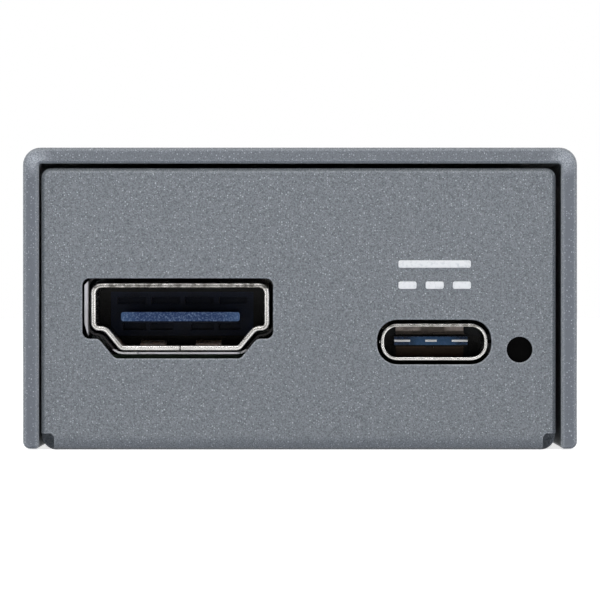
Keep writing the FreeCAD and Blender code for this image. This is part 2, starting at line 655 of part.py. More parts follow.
def cut_tray_openings(body):
    """Cuts the sockets' windows, the light's hole, the jack holes and the screw holes."""
    window = moved(
        hdmi_corners("window_clearance"), f"{HDMI_X} - window_left", f"{HDMI_Z} - window_drop"
    )
    socket = new_sketch(body, "XZ_Plane", FRONT_PLATE)
    outline(socket, window)
    pocket(body, socket, "tray_sheet", "+y")
    dress(body, "Fillet", "window_corner", across_plate(*window))

    half_width = "(usb_half_width + usb_clearance)"
    half_height = "(usb_half_height + usb_clearance)"
    port = moved([(half_width, "-" + half_height), (half_width, half_height)], USB_X, USB_Z)
    power = new_sketch(body, "XZ_Plane", FRONT_PLATE)
    outline(power, port)
    pocket(body, power, "tray_sheet", "+y")
    dress(body, "Fillet", "usb_corner + usb_clearance", across_plate(*port))

    light = new_sketch(body, "XZ_Plane", FRONT_PLATE)
    circle(light, LED_X, LED_Z, "led_hole_radius")
    pocket(body, light, "tray_sheet", "+y")

    jacks = new_sketch(body, "XZ_Plane", REAR_PLATE)
    for _, x in JACKS:
        circle(jacks, x, JACK_Z, "collar_radius + collar_clearance")
    pocket(body, jacks, "tray_sheet", "-y")

    screws = new_sketch(body, "XY_Plane")
    for x in ("-" + POST_X, POST_X):
        circle(screws, x, POST_Y, "sink_radius - sink_depth")
    pocket(body, screws, "tray_sheet", "+z")
    hole_width = value("2 * (sink_radius - sink_depth)")
    dress(
        body,
        "Chamfer",
        "sink_depth",
        lambda edge: at(edge, 2, 0) and near(edge.BoundBox.XLength, hole_width),
    )


def cross_recess(body, height, towards):
    """Cuts the cross recess into a screw's head."""
    sketch = new_sketch(body, "XY_Plane", height)
    arm, reach = "(cross_width / 2)", "cross_reach"
    quarter = [(arm, reach), (arm, arm), (reach, arm)]
    right = quarter + [(x, "-" + y) for x, y in reversed(quarter)]
    outline(sketch, right + [("-" + x, y) for x, y in reversed(right)])
    pocket(body, sketch, "cross_depth", towards)


def repeat_at_posts(body, z):
    """Repeats a body at the two cover posts and places it."""
    repeat(body, 2, f"2 * {POST_X}")
    place(body, "-" + POST_X, POST_Y, z)


def repeat_at_standoffs(body, z):
    """Repeats a body at the four standoffs and places it."""
    repeat(body, 2, f"2 * {STANDOFF_X}", 2, f"{STANDOFF_REAR} - standoff_front")
    place(body, "-" + STANDOFF_X, "standoff_front", z)


def hexagon(sketch, half_flats):
    """Draws a hexagon about the origin, with two corners on the x axis."""
    point = f"({half_flats} * 2 / sqrt(3))"
    right = [(f"{point} / 2", "-" + half_flats), (point, "0"), (f"{point} / 2", half_flats)]
    outline(sketch, right + [("-" + x, y) for x, y in reversed(right)])


def build_posts():
    """Six-sided posts that hang from the cover's ceiling down to the tray, threaded below."""
    body = new_body("cover_posts")
    section = new_sketch(body, "XY_Plane")
    hexagon(section, "(post_flats / 2)")
    pad(body, section, f"{CEILING} - tray_sheet", "+z")
    bore = new_sketch(body, "XY_Plane")
    circle(bore, "0", "0", "cover_screw_radius + screw_clearance")
    pocket(body, bore, "post_thread_depth", "+z")
    repeat_at_posts(body, "tray_sheet")


def build_cover_screws():
    """Countersunk screws, flush in the tray's underside, that hold the cover's posts."""
    body = new_body("cover_screws")
    head = "(sink_radius - screw_sunk - screw_clearance)"
    section = new_sketch(body, "XZ_Plane")
    profile = [("0", "0"), (head, "0"), ("cover_screw_radius", f"{head} - cover_screw_radius")]
    outline(section, profile + [("cover_screw_radius", "cover_screw_length"), ("0", "cover_screw_length")])
    revolve(body, "Z_Axis", section)
    cross_recess(body, "0", "+z")
    repeat_at_posts(body, "screw_sunk")


def build_standoffs():
    """Six-sided standoffs on the tray floor, each with a threaded stud through the board."""
    body = new_body("board_standoffs")
    section = new_sketch(body, "XY_Plane")
    hexagon(section, "(standoff_flats / 2)")
    pad(body, section, "standoff_height", "+z")
    stud = new_sketch(body, "XY_Plane")
    circle(stud, "0", "0", "stud_radius")
    pad(body, stud, "standoff_height + board_sheet + nut_height + stud_reach", "+z")
    repeat_at_standoffs(body, "tray_sheet")


def build_nuts():
    """Six-sided nuts on the studs, which clamp the board to its standoffs."""
    body = new_body("board_nuts")
    section = new_sketch(body, "XY_Plane")
    hexagon(section, "(nut_flats / 2)")
    circle(section, "0", "0", "stud_radius + screw_clearance")
    pad(body, section, "nut_height", "+z")
    repeat_at_standoffs(body, BOARD_TOP)


def build_board():
    """Circuit board with its stud holes, post notches, USB-C cut-out and solder slots."""
    body = new_body("main_board")
    left = f"({TRAY_LEFT} + tray_sheet + board_side_gap)"
    right = f"({TRAY_RIGHT} - tray_sheet - board_side_gap)"
    front = f"({FRONT_PLATE} + tray_sheet + board_end_gap)"
    rear = f"({REAR_PLATE} - tray_sheet - board_end_gap)"
    blank = new_sketch(body, "XY_Plane")
    rectangle(blank, left, front, right, rear)
    pad(body, blank, "board_sheet", "+z")

    holes = new_sketch(body, "XY_Plane")
    for x in ("-" + STANDOFF_X, STANDOFF_X):
        for y in ("standoff_front", STANDOFF_REAR):
            circle(holes, x, y, "stud_radius + leg_clearance")
    for _, x in JACKS:
        half = "(tail_side / 2 + leg_clearance)"
        centred(holes, x, f"{MOUTH_END} - {TAIL_DEPTH}", half, half)
        half = "(peg_side / 2 + leg_clearance)"
        for side in ("-", "+"):
            for depth in PEG_DEPTHS:
                peg_x = f"{x} {side} peg_span / 2"
                centred(holes, peg_x, f"{MOUTH_END} - {depth}", half, half)
    for side in ("-", "+"):
        for depth in ("shield_leg_front", "shield_leg_rear"):
            leg_x = f"{HDMI_X} {side} (hdmi_half_width + shield_side_gap + shield_sheet / 2)"
            leg_y = f"hdmi_recess + {depth} + shield_leg / 2"
            half_thick = "(shield_sheet / 2 + leg_clearance)"
            centred(holes, leg_x, leg_y, half_thick, "(shield_leg / 2 + leg_clearance)")
        for depth in ("usb_leg_front", "usb_leg_rear"):
            leg_x = f"{USB_X} {side} (usb_half_width + usb_leg_reach - usb_sheet / 2)"
            leg_y = f"usb_recess + {depth} + usb_leg_width / 2"
            half_thick = "(usb_sheet / 2 + leg_clearance)"
            centred(holes, leg_x, leg_y, half_thick, "(usb_leg_width / 2 + leg_clearance)")
    pocket(body, holes, "board_sheet", "+z")

    port = new_sketch(body, "XY_Plane")
    half = "(usb_half_width + usb_board_gap)"
    rear_edge = "usb_recess + usb_depth + usb_board_gap"
    rectangle(port, f"{USB_X} - {half}", "0", f"{USB_X} + {half}", rear_edge)
    pocket(body, port, "board_sheet", "+z")

    # The posts pass through notches that are open at the board's edge.
    notches = new_sketch(body, "XY_Plane")
    half = "(post_flats / sqrt(3) + post_clearance)"
    low, high = f"{POST_Y} - {half}", f"{POST_Y} + {half}"
    rectangle(notches, f"-{SIDE}", low, f"-{POST_X} + {half}", high)
    rectangle(notches, f"{POST_X} - {half}", low, SIDE, high)
    pocket(body, notches, "board_sheet", "+z")
    corners = [(x, y) for x in (f"-{POST_X} + {half}", f"{POST_X} - {half}") for y in (low, high)]
    dress(body, "Fillet", f"{half} / 3", upright(*corners))
    place(body, "0", "0", BOARD_LOW)


def place_hdmi(feature, x="0"):
    """Places a piece of the HDMI socket, drawn about the middle of the socket's mouth."""
    place(feature, f"{HDMI_X} + {x}", "hdmi_recess", HDMI_Z)


def build_hdmi_shell():
    """Shell of the HDMI socket: one folded strip with a seam and two spring fingers."""
    body = new_body("hdmi_shell")
    radii = ("hdmi_corner", "hdmi_low_corner", "hdmi_low_corner")
    hdmi_block(body, "0", "hdmi_depth", "0", radii)
    hollow(body, "hdmi_sheet")
    dress(body, "Chamfer", "hdmi_rim", lambda edge: at(edge, 1, 0))

    floor = "(-hdmi_half_height)"
    slits = new_sketch(body, "XY_Plane", floor)
    rectangle(slits, "-hdmi_seam / 2", "-hdmi_seam", "hdmi_seam / 2", "hdmi_depth + hdmi_seam")
    half = "(hdmi_spring_width / 2 + hdmi_spring_slit)"
    end = "hdmi_spring_start + hdmi_spring_length + hdmi_spring_slit"
    for side in ("-", ""):
        middle = f"{side}(hdmi_spring_span / 2)"
        rectangle(slits, f"{middle} - {half}", "hdmi_spring_start", f"{middle} + {half}", end)
    pocket(body, slits, "hdmi_sheet", "+z")

    # Each finger slopes up from the floor and bends down again towards its tip.
    crest = "(hdmi_spring_start + hdmi_spring_length * 3 / 4)"
    tip = "(hdmi_spring_start + hdmi_spring_length)"
    path = [("hdmi_spring_start", "0"), (crest, "hdmi_spring_rise"), (tip, "hdmi_spring_rise / 2")]
    under = [(y, f"{floor} + {z}") for y, z in path]
    over = [(y, f"{floor} + {z} + hdmi_sheet") for y, z in reversed(path)]
    for side in ("-", ""):
        finger = new_sketch(body, "YZ_Plane", f"{side}(hdmi_spring_span / 2)")
        outline(finger, under + over)
        pad(body, finger, "hdmi_spring_width", "both")
    place_hdmi(body)


def build_hdmi_shield():
    """Second, wider skin round the HDMI socket, standing on the board with four legs."""
    body = new_body("hdmi_shield")
    length = "(hdmi_depth - shield_setback)"
    outer = "(shield_side_gap + shield_sheet)"
    drop = f"(hdmi_rise - hdmi_half_height - {outer})"
    lift = "(shield_top_gap - shield_side_gap)"
    radii = ("shield_corner", "shield_corner", "shield_flank")
    hdmi_block(body, "shield_setback", length, outer, radii, drop, lift)
    hollow(body, "shield_sheet")
    wall = "(hdmi_half_width + shield_side_gap)"
    for depth in ("shield_leg_front", "shield_leg_rear"):
        legs = new_sketch(body, "XZ_Plane", depth)
        low = f"-(hdmi_rise + {LEG_DROP})"
        rectangle(legs, wall, low, f"{wall} + shield_sheet", "0")
        rectangle(legs, f"-{wall} - shield_sheet", low, "-" + wall, "0")
        pad(body, legs, "shield_leg", "+y")
    place_hdmi(body)


def build_hdmi_contacts(label, count, level, towards):
    """One side's contacts: flat strips on the tongue, then down behind it to the board."""
    body = new_body(label)
    inner = f"{level} {towards} hdmi_contact_sheet"
    top, low = (level, inner) if towards == "-" else (inner, level)
    start = "(tongue_recess + hdmi_contact_tip)"
    foot = "(-hdmi_rise + hdmi_contact_sheet)"
    strip = [(start, top), ("hdmi_depth + hdmi_contact_sheet", top)]
    strip += [("hdmi_depth + hdmi_contact_sheet", foot)]
    strip += [("hdmi_depth + hdmi_contact_foot", foot)]
    strip += [("hdmi_depth + hdmi_contact_foot", "-hdmi_rise"), ("hdmi_depth", "-hdmi_rise")]
    side = new_sketch(body, "YZ_Plane")
    outline(side, strip + [("hdmi_depth", low), (start, low)])
    pad(body, side, "hdmi_contact_width", "both")
    repeat(body, count, f"hdmi_contact_pitch * {count - 1}")
    place_hdmi(body, f"(-hdmi_contact_pitch * {(count - 1) / 2})")
    return body


def build_hdmi_insulator():
    """Plastic core of the HDMI socket: the block with its mould pockets, and the tongue."""
    upper = build_hdmi_contacts("hdmi_upper_contacts", 10, "tongue_half_height", "-")
    lower = build_hdmi_contacts("hdmi_lower_contacts", 9, "-tongue_half_height", "+")
    body = new_body("hdmi_insulator")
    length = "(hdmi_depth - hdmi_cavity)"
    inset = "(hdmi_sheet + seat_clearance)"
    radii = (f"hdmi_corner - {inset}", f"hdmi_low_corner - {inset}", f"hdmi_low_corner + {inset}")
    hdmi_block(body, "hdmi_cavity", length, "(-hdmi_sheet - seat_clearance)", radii)
    pockets = new_sketch(body, "XZ_Plane", "hdmi_cavity")
    half_width, half_height = "(hdmi_pocket_width / 2)", "(hdmi_pocket_height / 2)"
    for side in ("-", ""):
        for step in ("0.5", "1.5"):
            middle = f"{side}({step} * hdmi_pocket_pitch)"
            centred(pockets, middle, "hdmi_pocket_rise", half_width, half_height)
        for middle in ("hdmi_low_pocket_inner", "hdmi_low_pocket_outer"):
            half_low = "(hdmi_low_pocket_width / 2)"
            centred(pockets, side + middle, "-hdmi_low_pocket_drop", half_low, half_height)
    pocket(body, pockets, "hdmi_pocket_depth", "+y")

    tongue = new_sketch(body, "XZ_Plane", "tongue_recess")
    centred(tongue, "0", "0", "tongue_half_width", "tongue_half_height")
    pad(body, tongue, "hdmi_cavity - tongue_recess", "+y")
    half_width, half_height = "tongue_half_width", "tongue_half_height"
    corners = moved([(half_width, "-" + half_height), (half_width, half_height)], "0", "0")
    dress(body, "Fillet", "tongue_round", across_plate(*corners))
    place_hdmi(body)
    cut(body, upper, lower)


def place_usb(feature, x="0", z="0"):
    """Places a piece of the USB-C socket, drawn about the middle of the socket's mouth."""
    place(feature, f"{USB_X} + {x}", "usb_recess", f"{USB_Z} + {z}")


def usb_block(body, start, length, inset):
    """Pads the USB-C shape, taken in by inset, from y = start backwards."""
    half_width, half_height = f"(usb_half_width - {inset})", f"(usb_half_height - {inset})"
    corners = moved([(half_width, "-" + half_height), (half_width, half_height)], "0", "0")
    sketch = new_sketch(body, "XZ_Plane", start)
    outline(sketch, corners)
    pad(body, sketch, length, "+y")
    dress(body, "Fillet", f"usb_corner - {inset}", across_plate(*corners))


def build_usb_shell():
    """Seamless shell of the USB-C socket, sunk into the board and soldered by four legs."""
    body = new_body("usb_shell")
    usb_block(body, "0", "usb_depth", "0")
    hollow(body, "usb_sheet")
    inner, outer = "(usb_half_width - usb_sheet / 2)", "(usb_half_width + usb_leg_reach)"
    half = "(usb_sheet / 2)"
    low = f"-(usb_rise + {LEG_DROP})"
    for depth in ("usb_leg_front", "usb_leg_rear"):
        legs = new_sketch(body, "XZ_Plane", depth)
        leg = [(inner, half), (outer, half), (outer, low), (f"({outer} - usb_sheet)", low)]
        leg += [(f"({outer} - usb_sheet)", "-" + half), (inner, "-" + half)]
        outline(legs, leg)
        outline(legs, [("-" + x, z) for x, z in leg])
        pad(body, legs, "usb_leg_width", "+y")
    place_usb(body)


def build_usb_inside():
    """Tongue of the USB-C socket with its middle plate, contacts and ground plates."""
    plate = build_usb_mid_plate()
    upper = build_usb_contacts("usb_upper_contacts", "usb_tongue_sheet / 2", "-", USB_FAR_TAIL)
    lower = build_usb_contacts("usb_lower_contacts", "-usb_tongue_sheet / 2", "+", USB_NEAR_TAIL)
    grounds = build_usb_grounds()

    body = new_body("usb_insulator")
    usb_block(body, "usb_cavity", "(usb_depth - usb_cavity)", "(usb_sheet + seat_clearance)")
    tongue = new_sketch(body, "XZ_Plane", "usb_tongue_recess")
    centred(tongue, "-usb_tongue_left", "usb_tongue_lift", "usb_tongue_half", "(usb_tongue_sheet / 2)")
    pad(body, tongue, "usb_cavity - usb_tongue_recess", "+y")
    root = new_sketch(body, "XZ_Plane", "usb_cavity")
    centred(root, "-usb_tongue_left", "usb_tongue_lift", "usb_tongue_half", "(usb_root_sheet / 2)")
    pad(body, root, "usb_root_length", "-y")
    place_usb(body)
    cut(body, plate, upper, lower, grounds)


def build_usb_mid_plate():
    """Steel plate in the middle of the tongue, whose tip has two gaps filled by plastic."""
    body = new_body("usb_mid_plate")
    blank = new_sketch(body, "XY_Plane")
    tip, end = "usb_tongue_recess", "usb_cavity"
    half = "usb_tongue_half"
    rectangle(blank, "-" + half, tip, half, end)
    pad(body, blank, "usb_plate_sheet", "both")
    gaps = new_sketch(body, "XY_Plane")
    for side in ("-", ""):
        middle = f"{side}usb_plate_step"
        low, high = f"{middle} - usb_plate_relief / 2", f"{middle} + usb_plate_relief / 2"
        rectangle(gaps, low, f"{tip} - usb_plate_sheet", high, f"{tip} + usb_plate_relief / 2")
    pocket(body, gaps, "usb_plate_sheet", "both")
    place_usb(body, "(-usb_tongue_left)", "usb_tongue_lift")
    return body


def build_usb_contacts(label, level, towards, tail):
    """One side's contacts: flat strips on the tongue, then down to the board at tail."""
    body = new_body(label)
    inner = f"{level} {towards} usb_contact_sheet"
    top, low = (level, inner) if towards == "-" else (inner, level)
    start = "(usb_tongue_recess + usb_contact_tip)"
    ground = "(-usb_rise - usb_tongue_lift)"
    foot = f"({ground} + usb_contact_sheet)"
    strip = [(start, top), (f"{tail} + usb_contact_sheet", top)]
    strip += [(f"{tail} + usb_contact_sheet", foot), (f"{tail} + usb_contact_foot", foot)]
    strip += [(f"{tail} + usb_contact_foot", ground), (tail, ground)]
    side = new_sketch(body, "YZ_Plane")
    outline(side, strip + [(tail, low), (start, low)])
    pad(body, side, "usb_contact_width", "both")
    repeat(body, 12, "usb_contact_pitch * 11")
    place_usb(body, "(-usb_tongue_left - usb_contact_pitch * 5.5)", "usb_tongue_lift")
    return body


def build_usb_grounds():
    """Two angled steel plates from the root of the tongue out to the shell."""
    body = new_body("usb_ground_plates")
    root = "(usb_root_sheet / 2)"
    near_end, far_end = "(usb_cavity - usb_root_length)", "usb_cavity"
    reach = "(usb_half_height - usb_sheet - seat_clearance)"
    for sign, offset in (("", "- usb_tongue_lift"), ("-", "+ usb_tongue_lift")):
        profile = [(near_end, root), (far_end, root), (far_end, f"{reach} {offset}")]
        profile += [(f"{far_end} - ground_sheet", f"{reach} {offset}")]
        profile += [(f"{far_end} - ground_sheet", f"({root} + ground_sheet)")]
        profile += [(near_end, f"({root} + ground_sheet)")]
        side = new_sketch(body, "YZ_Plane")
        outline(side, [(y, f"{sign}({z})") for y, z in profile])
        pad(body, side, "2 * ground_half_width", "both")
    split = new_sketch(body, "XY_Plane")
    half = "(ground_split / 2)"
    deep = f"{far_end} - usb_root_length / 3"
    rectangle(split, "-" + half, f"{near_end} - {half}", half, deep)
    pocket(body, split, "2 * usb_half_height", "both")
    place_usb(body, "(-usb_tongue_left)", "usb_tongue_lift")
    return body


def build_status_light():
    """Side-looking status light on the board, in line with its hole in the end plate."""
    lens_y = f"({FRONT_PLATE} + tray_sheet + led_setback)"
    body = new_body("status_led_lens")
    dome = new_sketch(body, "XY_Plane")
    rectangle(dome, "-led_lens_width / 2", "0", "led_lens_width / 2", "led_lens_reach")
    pad(body, dome, "led_rise * 3 / 2", "both")
    dress(
        body,
        "Fillet",
        "led_lens_reach * 3 / 4",
        lambda edge: along(edge, 2) and at(edge, 1, 0),
    )
    place(body, LED_X, lens_y, LED_Z)
    body_y = f"{lens_y} + led_lens_reach + led_depth / 2"
    box("status_led", LED_X, body_y, BOARD_TOP, "led_width", "led_depth", "led_height")


def build_jack_barrel(name):
    """Turned barrel of a BNC jack with its two bayonet lugs, pressed onto the block's spigot."""
    body = new_body(name + "_jack_barrel")
    section = new_sketch(body, "XY_Plane")
    profile = [("barrel_bore", "0"), ("barrel_radius - barrel_edge", "0")]
    profile += [("barrel_radius", "-barrel_edge"), ("barrel_radius", "-" + COLLAR_FACE)]
    outline(section, profile + [("barrel_bore", "-" + COLLAR_FACE)])
    revolve(body, "Y_Axis", section)
    for towards in ("+z", "-z"):
        start = f"{towards[0]}(barrel_bore + barrel_radius) / 2"
        lug = new_sketch(body, "XY_Plane", start)
        circle(lug, "0", "-lug_setback", "lug_radius")
        pad(body, lug, "lug_reach - (barrel_bore + barrel_radius) / 2", towards)
    return body


def build_jack_block(name):
    """Die-cast block of a BNC jack: spigot, collar in the panel hole, and pegs in the board."""
    body = new_body(name + "_jack_block")
    section = new_sketch(body, "XY_Plane")
    spigot = "(barrel_bore - seat_clearance)"
    profile = [("dielectric_radius", "-barrel_bore_depth"), (spigot, "-barrel_bore_depth")]
    profile += [(spigot, "-" + COLLAR_FACE), ("collar_radius", "-" + COLLAR_FACE)]
    profile += [("collar_radius", "-" + BLOCK_FACE), ("dielectric_radius", "-" + BLOCK_FACE)]
    outline(section, profile)
    revolve(body, "Y_Axis", section)

    block = new_sketch(body, "XZ_Plane", "-" + BLOCK_FACE)
    half = "(block_width / 2)"
    top = "(block_height - jack_rise)"
    rectangle(block, "-" + half, "-jack_rise", half, top)
    pad(body, block, "block_depth", "-y")
    dress(body, "Fillet", "block_edge", across_plate((half, top), ("-" + half, top)))

    inner = new_sketch(body, "XZ_Plane", "-" + BLOCK_FACE)
    circle(inner, "0", "0", "dielectric_radius")
    pocket(body, inner, "block_depth", "-y")
    channel = new_sketch(body, "XY_Plane", "-jack_rise")
    half = "(dielectric_radius - pin_radius)"
    centred(channel, "0", "-" + TAIL_DEPTH, half, half)
    pocket(body, channel, "jack_rise", "+z")

    pegs = new_sketch(body, "XY_Plane", "-jack_rise")
    for side in ("-", ""):
        for depth in PEG_DEPTHS:
            centred(pegs, f"{side}(peg_span / 2)", "-" + depth, "(peg_side / 2)", "(peg_side / 2)")
    pad(body, pegs, LEG_DROP, "-z")
    return body


def build_jack_contact(name):
    """Centre contact: a slotted tube in the jack's axis with a pin down to the board."""
    body = new_body(name + "_jack_contact")
    tube = new_sketch(body, "XZ_Plane", "-pin_setback")
    circle(tube, "0", "0", "pin_radius")
    pad(body, tube, f"{TAIL_DEPTH} + pin_radius - pin_setback", "-y")
    bore = new_sketch(body, "XZ_Plane", "-pin_setback")
    circle(bore, "0", "0", "pin_bore")
    pocket(body, bore, "pin_bore_depth", "-y")
    slot = new_sketch(body, "XZ_Plane", "-pin_setback")
    centred(slot, "0", "0", "(pin_slot / 2)", "(2 * pin_radius)")
    pocket(body, slot, "pin_slot_depth", "-y")
    tail = new_sketch(body, "XY_Plane")
    centred(tail, "0", "-" + TAIL_DEPTH, "(tail_side / 2)", "(tail_side / 2)")
    pad(body, tail, f"jack_rise + {LEG_DROP}", "-z")
    return body


def build_jack(name, x):
    """One BNC jack, whose pieces are drawn about the middle of its mouth."""
    contact = build_jack_contact(name)
    insulator = new_body(name + "_jack_insulator")
    face = "(barrel_bore_depth - dielectric_proud)"
    rod = new_sketch(insulator, "XZ_Plane", "-" + face)
    circle(rod, "0", "0", "dielectric_radius - seat_clearance")
    pad(insulator, rod, f"{BLOCK_FACE} + block_depth - {face}", "-y")
    for piece in (build_jack_barrel(name), build_jack_block(name), insulator, contact):
        place(piece, x, MOUTH_END, JACK_Z)
    cut(insulator, contact)


def build_processor():
    """Video processor under the middle of the board, with its pad down to the tray."""
    middle = "(cover_length / 2)"
    body = new_body("video_processor")
    base = new_sketch(body, "XY_Plane")
    centred(base, "0", "0", "(processor_size / 2)", "(processor_size / 2)")
    pad(body, base, "processor_height * 2 / 5", "-z")
    cap = new_sketch(body, "XY_Plane")
    half = "(processor_size / 2 - processor_edge)"
    centred(cap, "0", "0", half, half)
    pad(body, cap, "processor_height", "-z")
    place(body, "0", middle, BOARD_LOW)
    height = "(standoff_height - processor_height)"
    box("thermal_pad", "0", middle, "tray_sheet", "pad_size", "pad_size", height)


def build_flash_memory():
    """Eight-legged memory chip whose bent legs stand on the board."""
    body = new_body("flash_memory")
    case = new_sketch(body, "XY_Plane", "memory_lift")
    centred(case, "0", "0", "(memory_width / 2)", "(memory_length / 2)")
    pad(body, case, "memory_height", "+z")
    high = "(memory_lift + (memory_height + memory_lead_sheet) / 2)"
    low = f"({high} - memory_lead_sheet)"
    knee, toe = "(memory_width / 2 + memory_knee)", "(memory_width / 2 + memory_toe)"
    inner = f"({knee} - memory_lead_sheet)"
    right = [(knee, high), (knee, "memory_lead_sheet"), (toe, "memory_lead_sheet")]
    right += [(toe, "0"), (inner, "0"), (inner, low)]
    profile = right + [("-" + x, z) for x, z in reversed(right)]
    for number in (-1.5, -0.5, 0.5, 1.5):
        leads = new_sketch(body, "XZ_Plane", f"{number} * memory_pitch")
        outline(leads, profile)
        pad(body, leads, "memory_lead_width", "both")
    place(body, f"-{SIDE} + memory_inset", "cover_length / 2 - memory_forward", BOARD_TOP)


def build_row(label, x, y, width, length, height):
    """One component whose middle is at x and y on the board, ready to be repeated."""
    body = new_body(label)
    section = new_sketch(body, "XY_Plane")
    centred(section, "0", "0", f"({width} / 2)", f"({length} / 2)")
    pad(body, section, height, "+z")
    place(body, x, y, BOARD_TOP)
    return body


def build_components():
    """Chips and small components on top of the board."""
    behind_hdmi = "hdmi_recess + hdmi_depth"
    behind_usb = "usb_recess + usb_depth"
    middle, rear = "cover_length / 2", "cover_length"
    sdi_y = f"{rear} - receiver_inset"
    power_x, power_y = f"{USB_X} - regulator_left", f"{behind_usb} + regulator_back"
    chips = (
        ("hdmi_driver", HDMI_X, f"{behind_hdmi} + driver_back", "driver_size"),
        ("power_regulator", power_x, power_y, "regulator_size"),
        ("sdi_receiver", JACKS[0][1], sdi_y, "receiver_size"),
        ("sdi_driver", JACKS[1][1], sdi_y, "sdi_driver_size"),
    )
    for label, x, y, size in chips:
        box(label, x, y, BOARD_TOP, size, size, "chip_height")
    crystal = ("crystal_length", "crystal_width", "chip_height")
    box("clock_crystal", f"{SIDE} - crystal_inset", middle, BOARD_TOP, *crystal)

    surge = ("surge_length", "surge_width", "surge_height")
    first = f"{HDMI_X} - surge_pitch"
    row = build_row("surge_protectors", first, f"{behind_hdmi} + surge_back", *surge)
    repeat(row, 3, "surge_pitch * 2")
    inductor = ("inductor_size", "inductor_size", "inductor_height")
    first = f"{USB_X} - inductor_left"
    row = build_row("power_inductors", first, f"{behind_usb} + inductor_back", *inductor)
    repeat(row, 2, "inductor_pitch")
    bulk = ("bulk_length", "bulk_width", "bulk_height")
    first = f"{USB_X} - bulk_left"
    row = build_row("bulk_capacitors", first, f"{behind_usb} + bulk_back", *bulk)
    repeat(row, 3, "bulk_pitch * 2")
    ceramic = ("ceramic_length", "ceramic_width", "ceramic_width")
    start = f"{middle} - ceramic_pitch * 2.5"
    row = build_row("ceramic_capacitors", "-ceramic_span / 2", start, *ceramic)
    repeat(row, 2, "ceramic_span", 6, "ceramic_pitch * 5")
    resistor = ("resistor_length", "resistor_width", "resistor_height")
    row = build_row("chip_resistors", JACKS[0][1], f"{rear} - resistor_inset", *resistor)
    repeat(row, 2, "jack_spacing", 3, "resistor_pitch * 2")


def check_and_export():
    """Stops on any failed feature or bad shape, then writes one STEP file per sub-part."""
    doc.recompute()
    for feature in doc.Objects:
        if {"Invalid", "Error"} & set(feature.State):
            raise RuntimeError(f"{feature.Name} of {feature.Label} failed: {feature.State}")
    for node in nodes:
        if node.Shape.isNull() or not node.Shape.isValid() or not node.Shape.Solids:
            raise RuntimeError(f"{node.Label} has no valid shape")
    os.makedirs("parts", exist_ok=True)
    for node in nodes:
        node.Shape.exportStep(f"parts/{node.Label}.step")
        print(node.Label, len(node.Shape.Solids), round(node.Shape.Volume, 2))
    print(len(nodes), "sub-parts")


build_cover()
build_tray()
build_posts()
build_cover_screws()
build_standoffs()
build_nuts()
build_board()
build_hdmi_shell()
build_hdmi_shield()
build_hdmi_insulator()
build_usb_shell()
build_usb_inside()
build_status_light()
for jack_name, jack_x in JACKS:
    build_jack(jack_name, jack_x)
build_processor()
build_flash_memory()
build_components()
check_and_export()
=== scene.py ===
"""Look of a pocket-size SDI to HDMI converter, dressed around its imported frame.

Every piece is in metres in the frame of the row: +Z up, +Y from the HDMI end to the two jacks, and
+X to the right for someone who faces the HDMI end. The sizes in the classes are in millimetres.
"""

import logging
import math
from dataclasses import dataclass
from enum import Enum
from typing import Callable

import bmesh
import bpy
from mathutils import Matrix, Vector


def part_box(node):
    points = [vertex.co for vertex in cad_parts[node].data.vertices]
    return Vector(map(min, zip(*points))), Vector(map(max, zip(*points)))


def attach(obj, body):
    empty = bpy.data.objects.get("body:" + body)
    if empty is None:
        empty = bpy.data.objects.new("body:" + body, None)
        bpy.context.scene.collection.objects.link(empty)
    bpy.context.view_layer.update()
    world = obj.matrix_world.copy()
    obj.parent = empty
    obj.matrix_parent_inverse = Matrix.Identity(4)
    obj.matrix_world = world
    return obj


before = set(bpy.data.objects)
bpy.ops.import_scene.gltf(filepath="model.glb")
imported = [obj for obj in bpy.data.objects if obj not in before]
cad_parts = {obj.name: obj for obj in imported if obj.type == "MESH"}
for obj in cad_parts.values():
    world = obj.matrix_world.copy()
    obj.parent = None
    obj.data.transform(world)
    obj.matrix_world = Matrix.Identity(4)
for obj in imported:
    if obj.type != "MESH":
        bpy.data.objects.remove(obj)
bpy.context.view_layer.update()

LOG = logging.getLogger("converter")
MM = 0.001
BODY = "root"
# Inputs of a Map Range node: the range that comes in, and the range that goes out.
FROM, TO = (1, 2), (3, 4)
# Colour inputs of a Mix node.
UNDER, OVER = 6, 7
# The range that nearly all of a noise's values are in.
NOISE = (0.3, 0.7)
# Roughness of the smoothest metal.
SMOOTHEST = 0.02
# Rays that each softened edge is worked out from.
EDGE_RAYS = 6
# Edges under this angle are shaded as one smooth surface.
SMOOTH_UNDER = math.radians(35)
# Share of an edge's length that has to run along an axis for the edge to count as along it.
ALONG = 0.99
# Turn that makes a flat piece, or the camera, face along Y.
UPRIGHT = (math.radians(90), 0, 0)

Tree = bpy.types.NodeTree
Node = bpy.types.Node
Piece = bpy.types.Object
Span = tuple[float, float]
Spot = tuple[float, float, float]


class Slot(Enum):
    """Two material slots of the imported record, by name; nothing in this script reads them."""

    TINNED_STEEL = "tinned_steel"
    SMOKED = "lamp_lens"


class JackSide(Enum):
    """The two jacks, by the names that their sub-parts start with."""

    INPUT = "sdi_in"
    OUTPUT = "sdi_out"


def linear(code: str) -> tuple[float, float, float, float]:
    """Turns an sRGB hex colour into a linear one.

    Args:
        code: six hex digits after a hash sign.

    Returns:
        Linear red, green, blue and a full alpha.
    """
    parts = [int(code[i : i + 2], 16) / 255 for i in (1, 3, 5)]
    red, green, blue = (p / 12.92 if p <= 0.04045 else ((p + 0.055) / 1.055) ** 2.4 for p in parts)
    return red, green, blue, 1.0


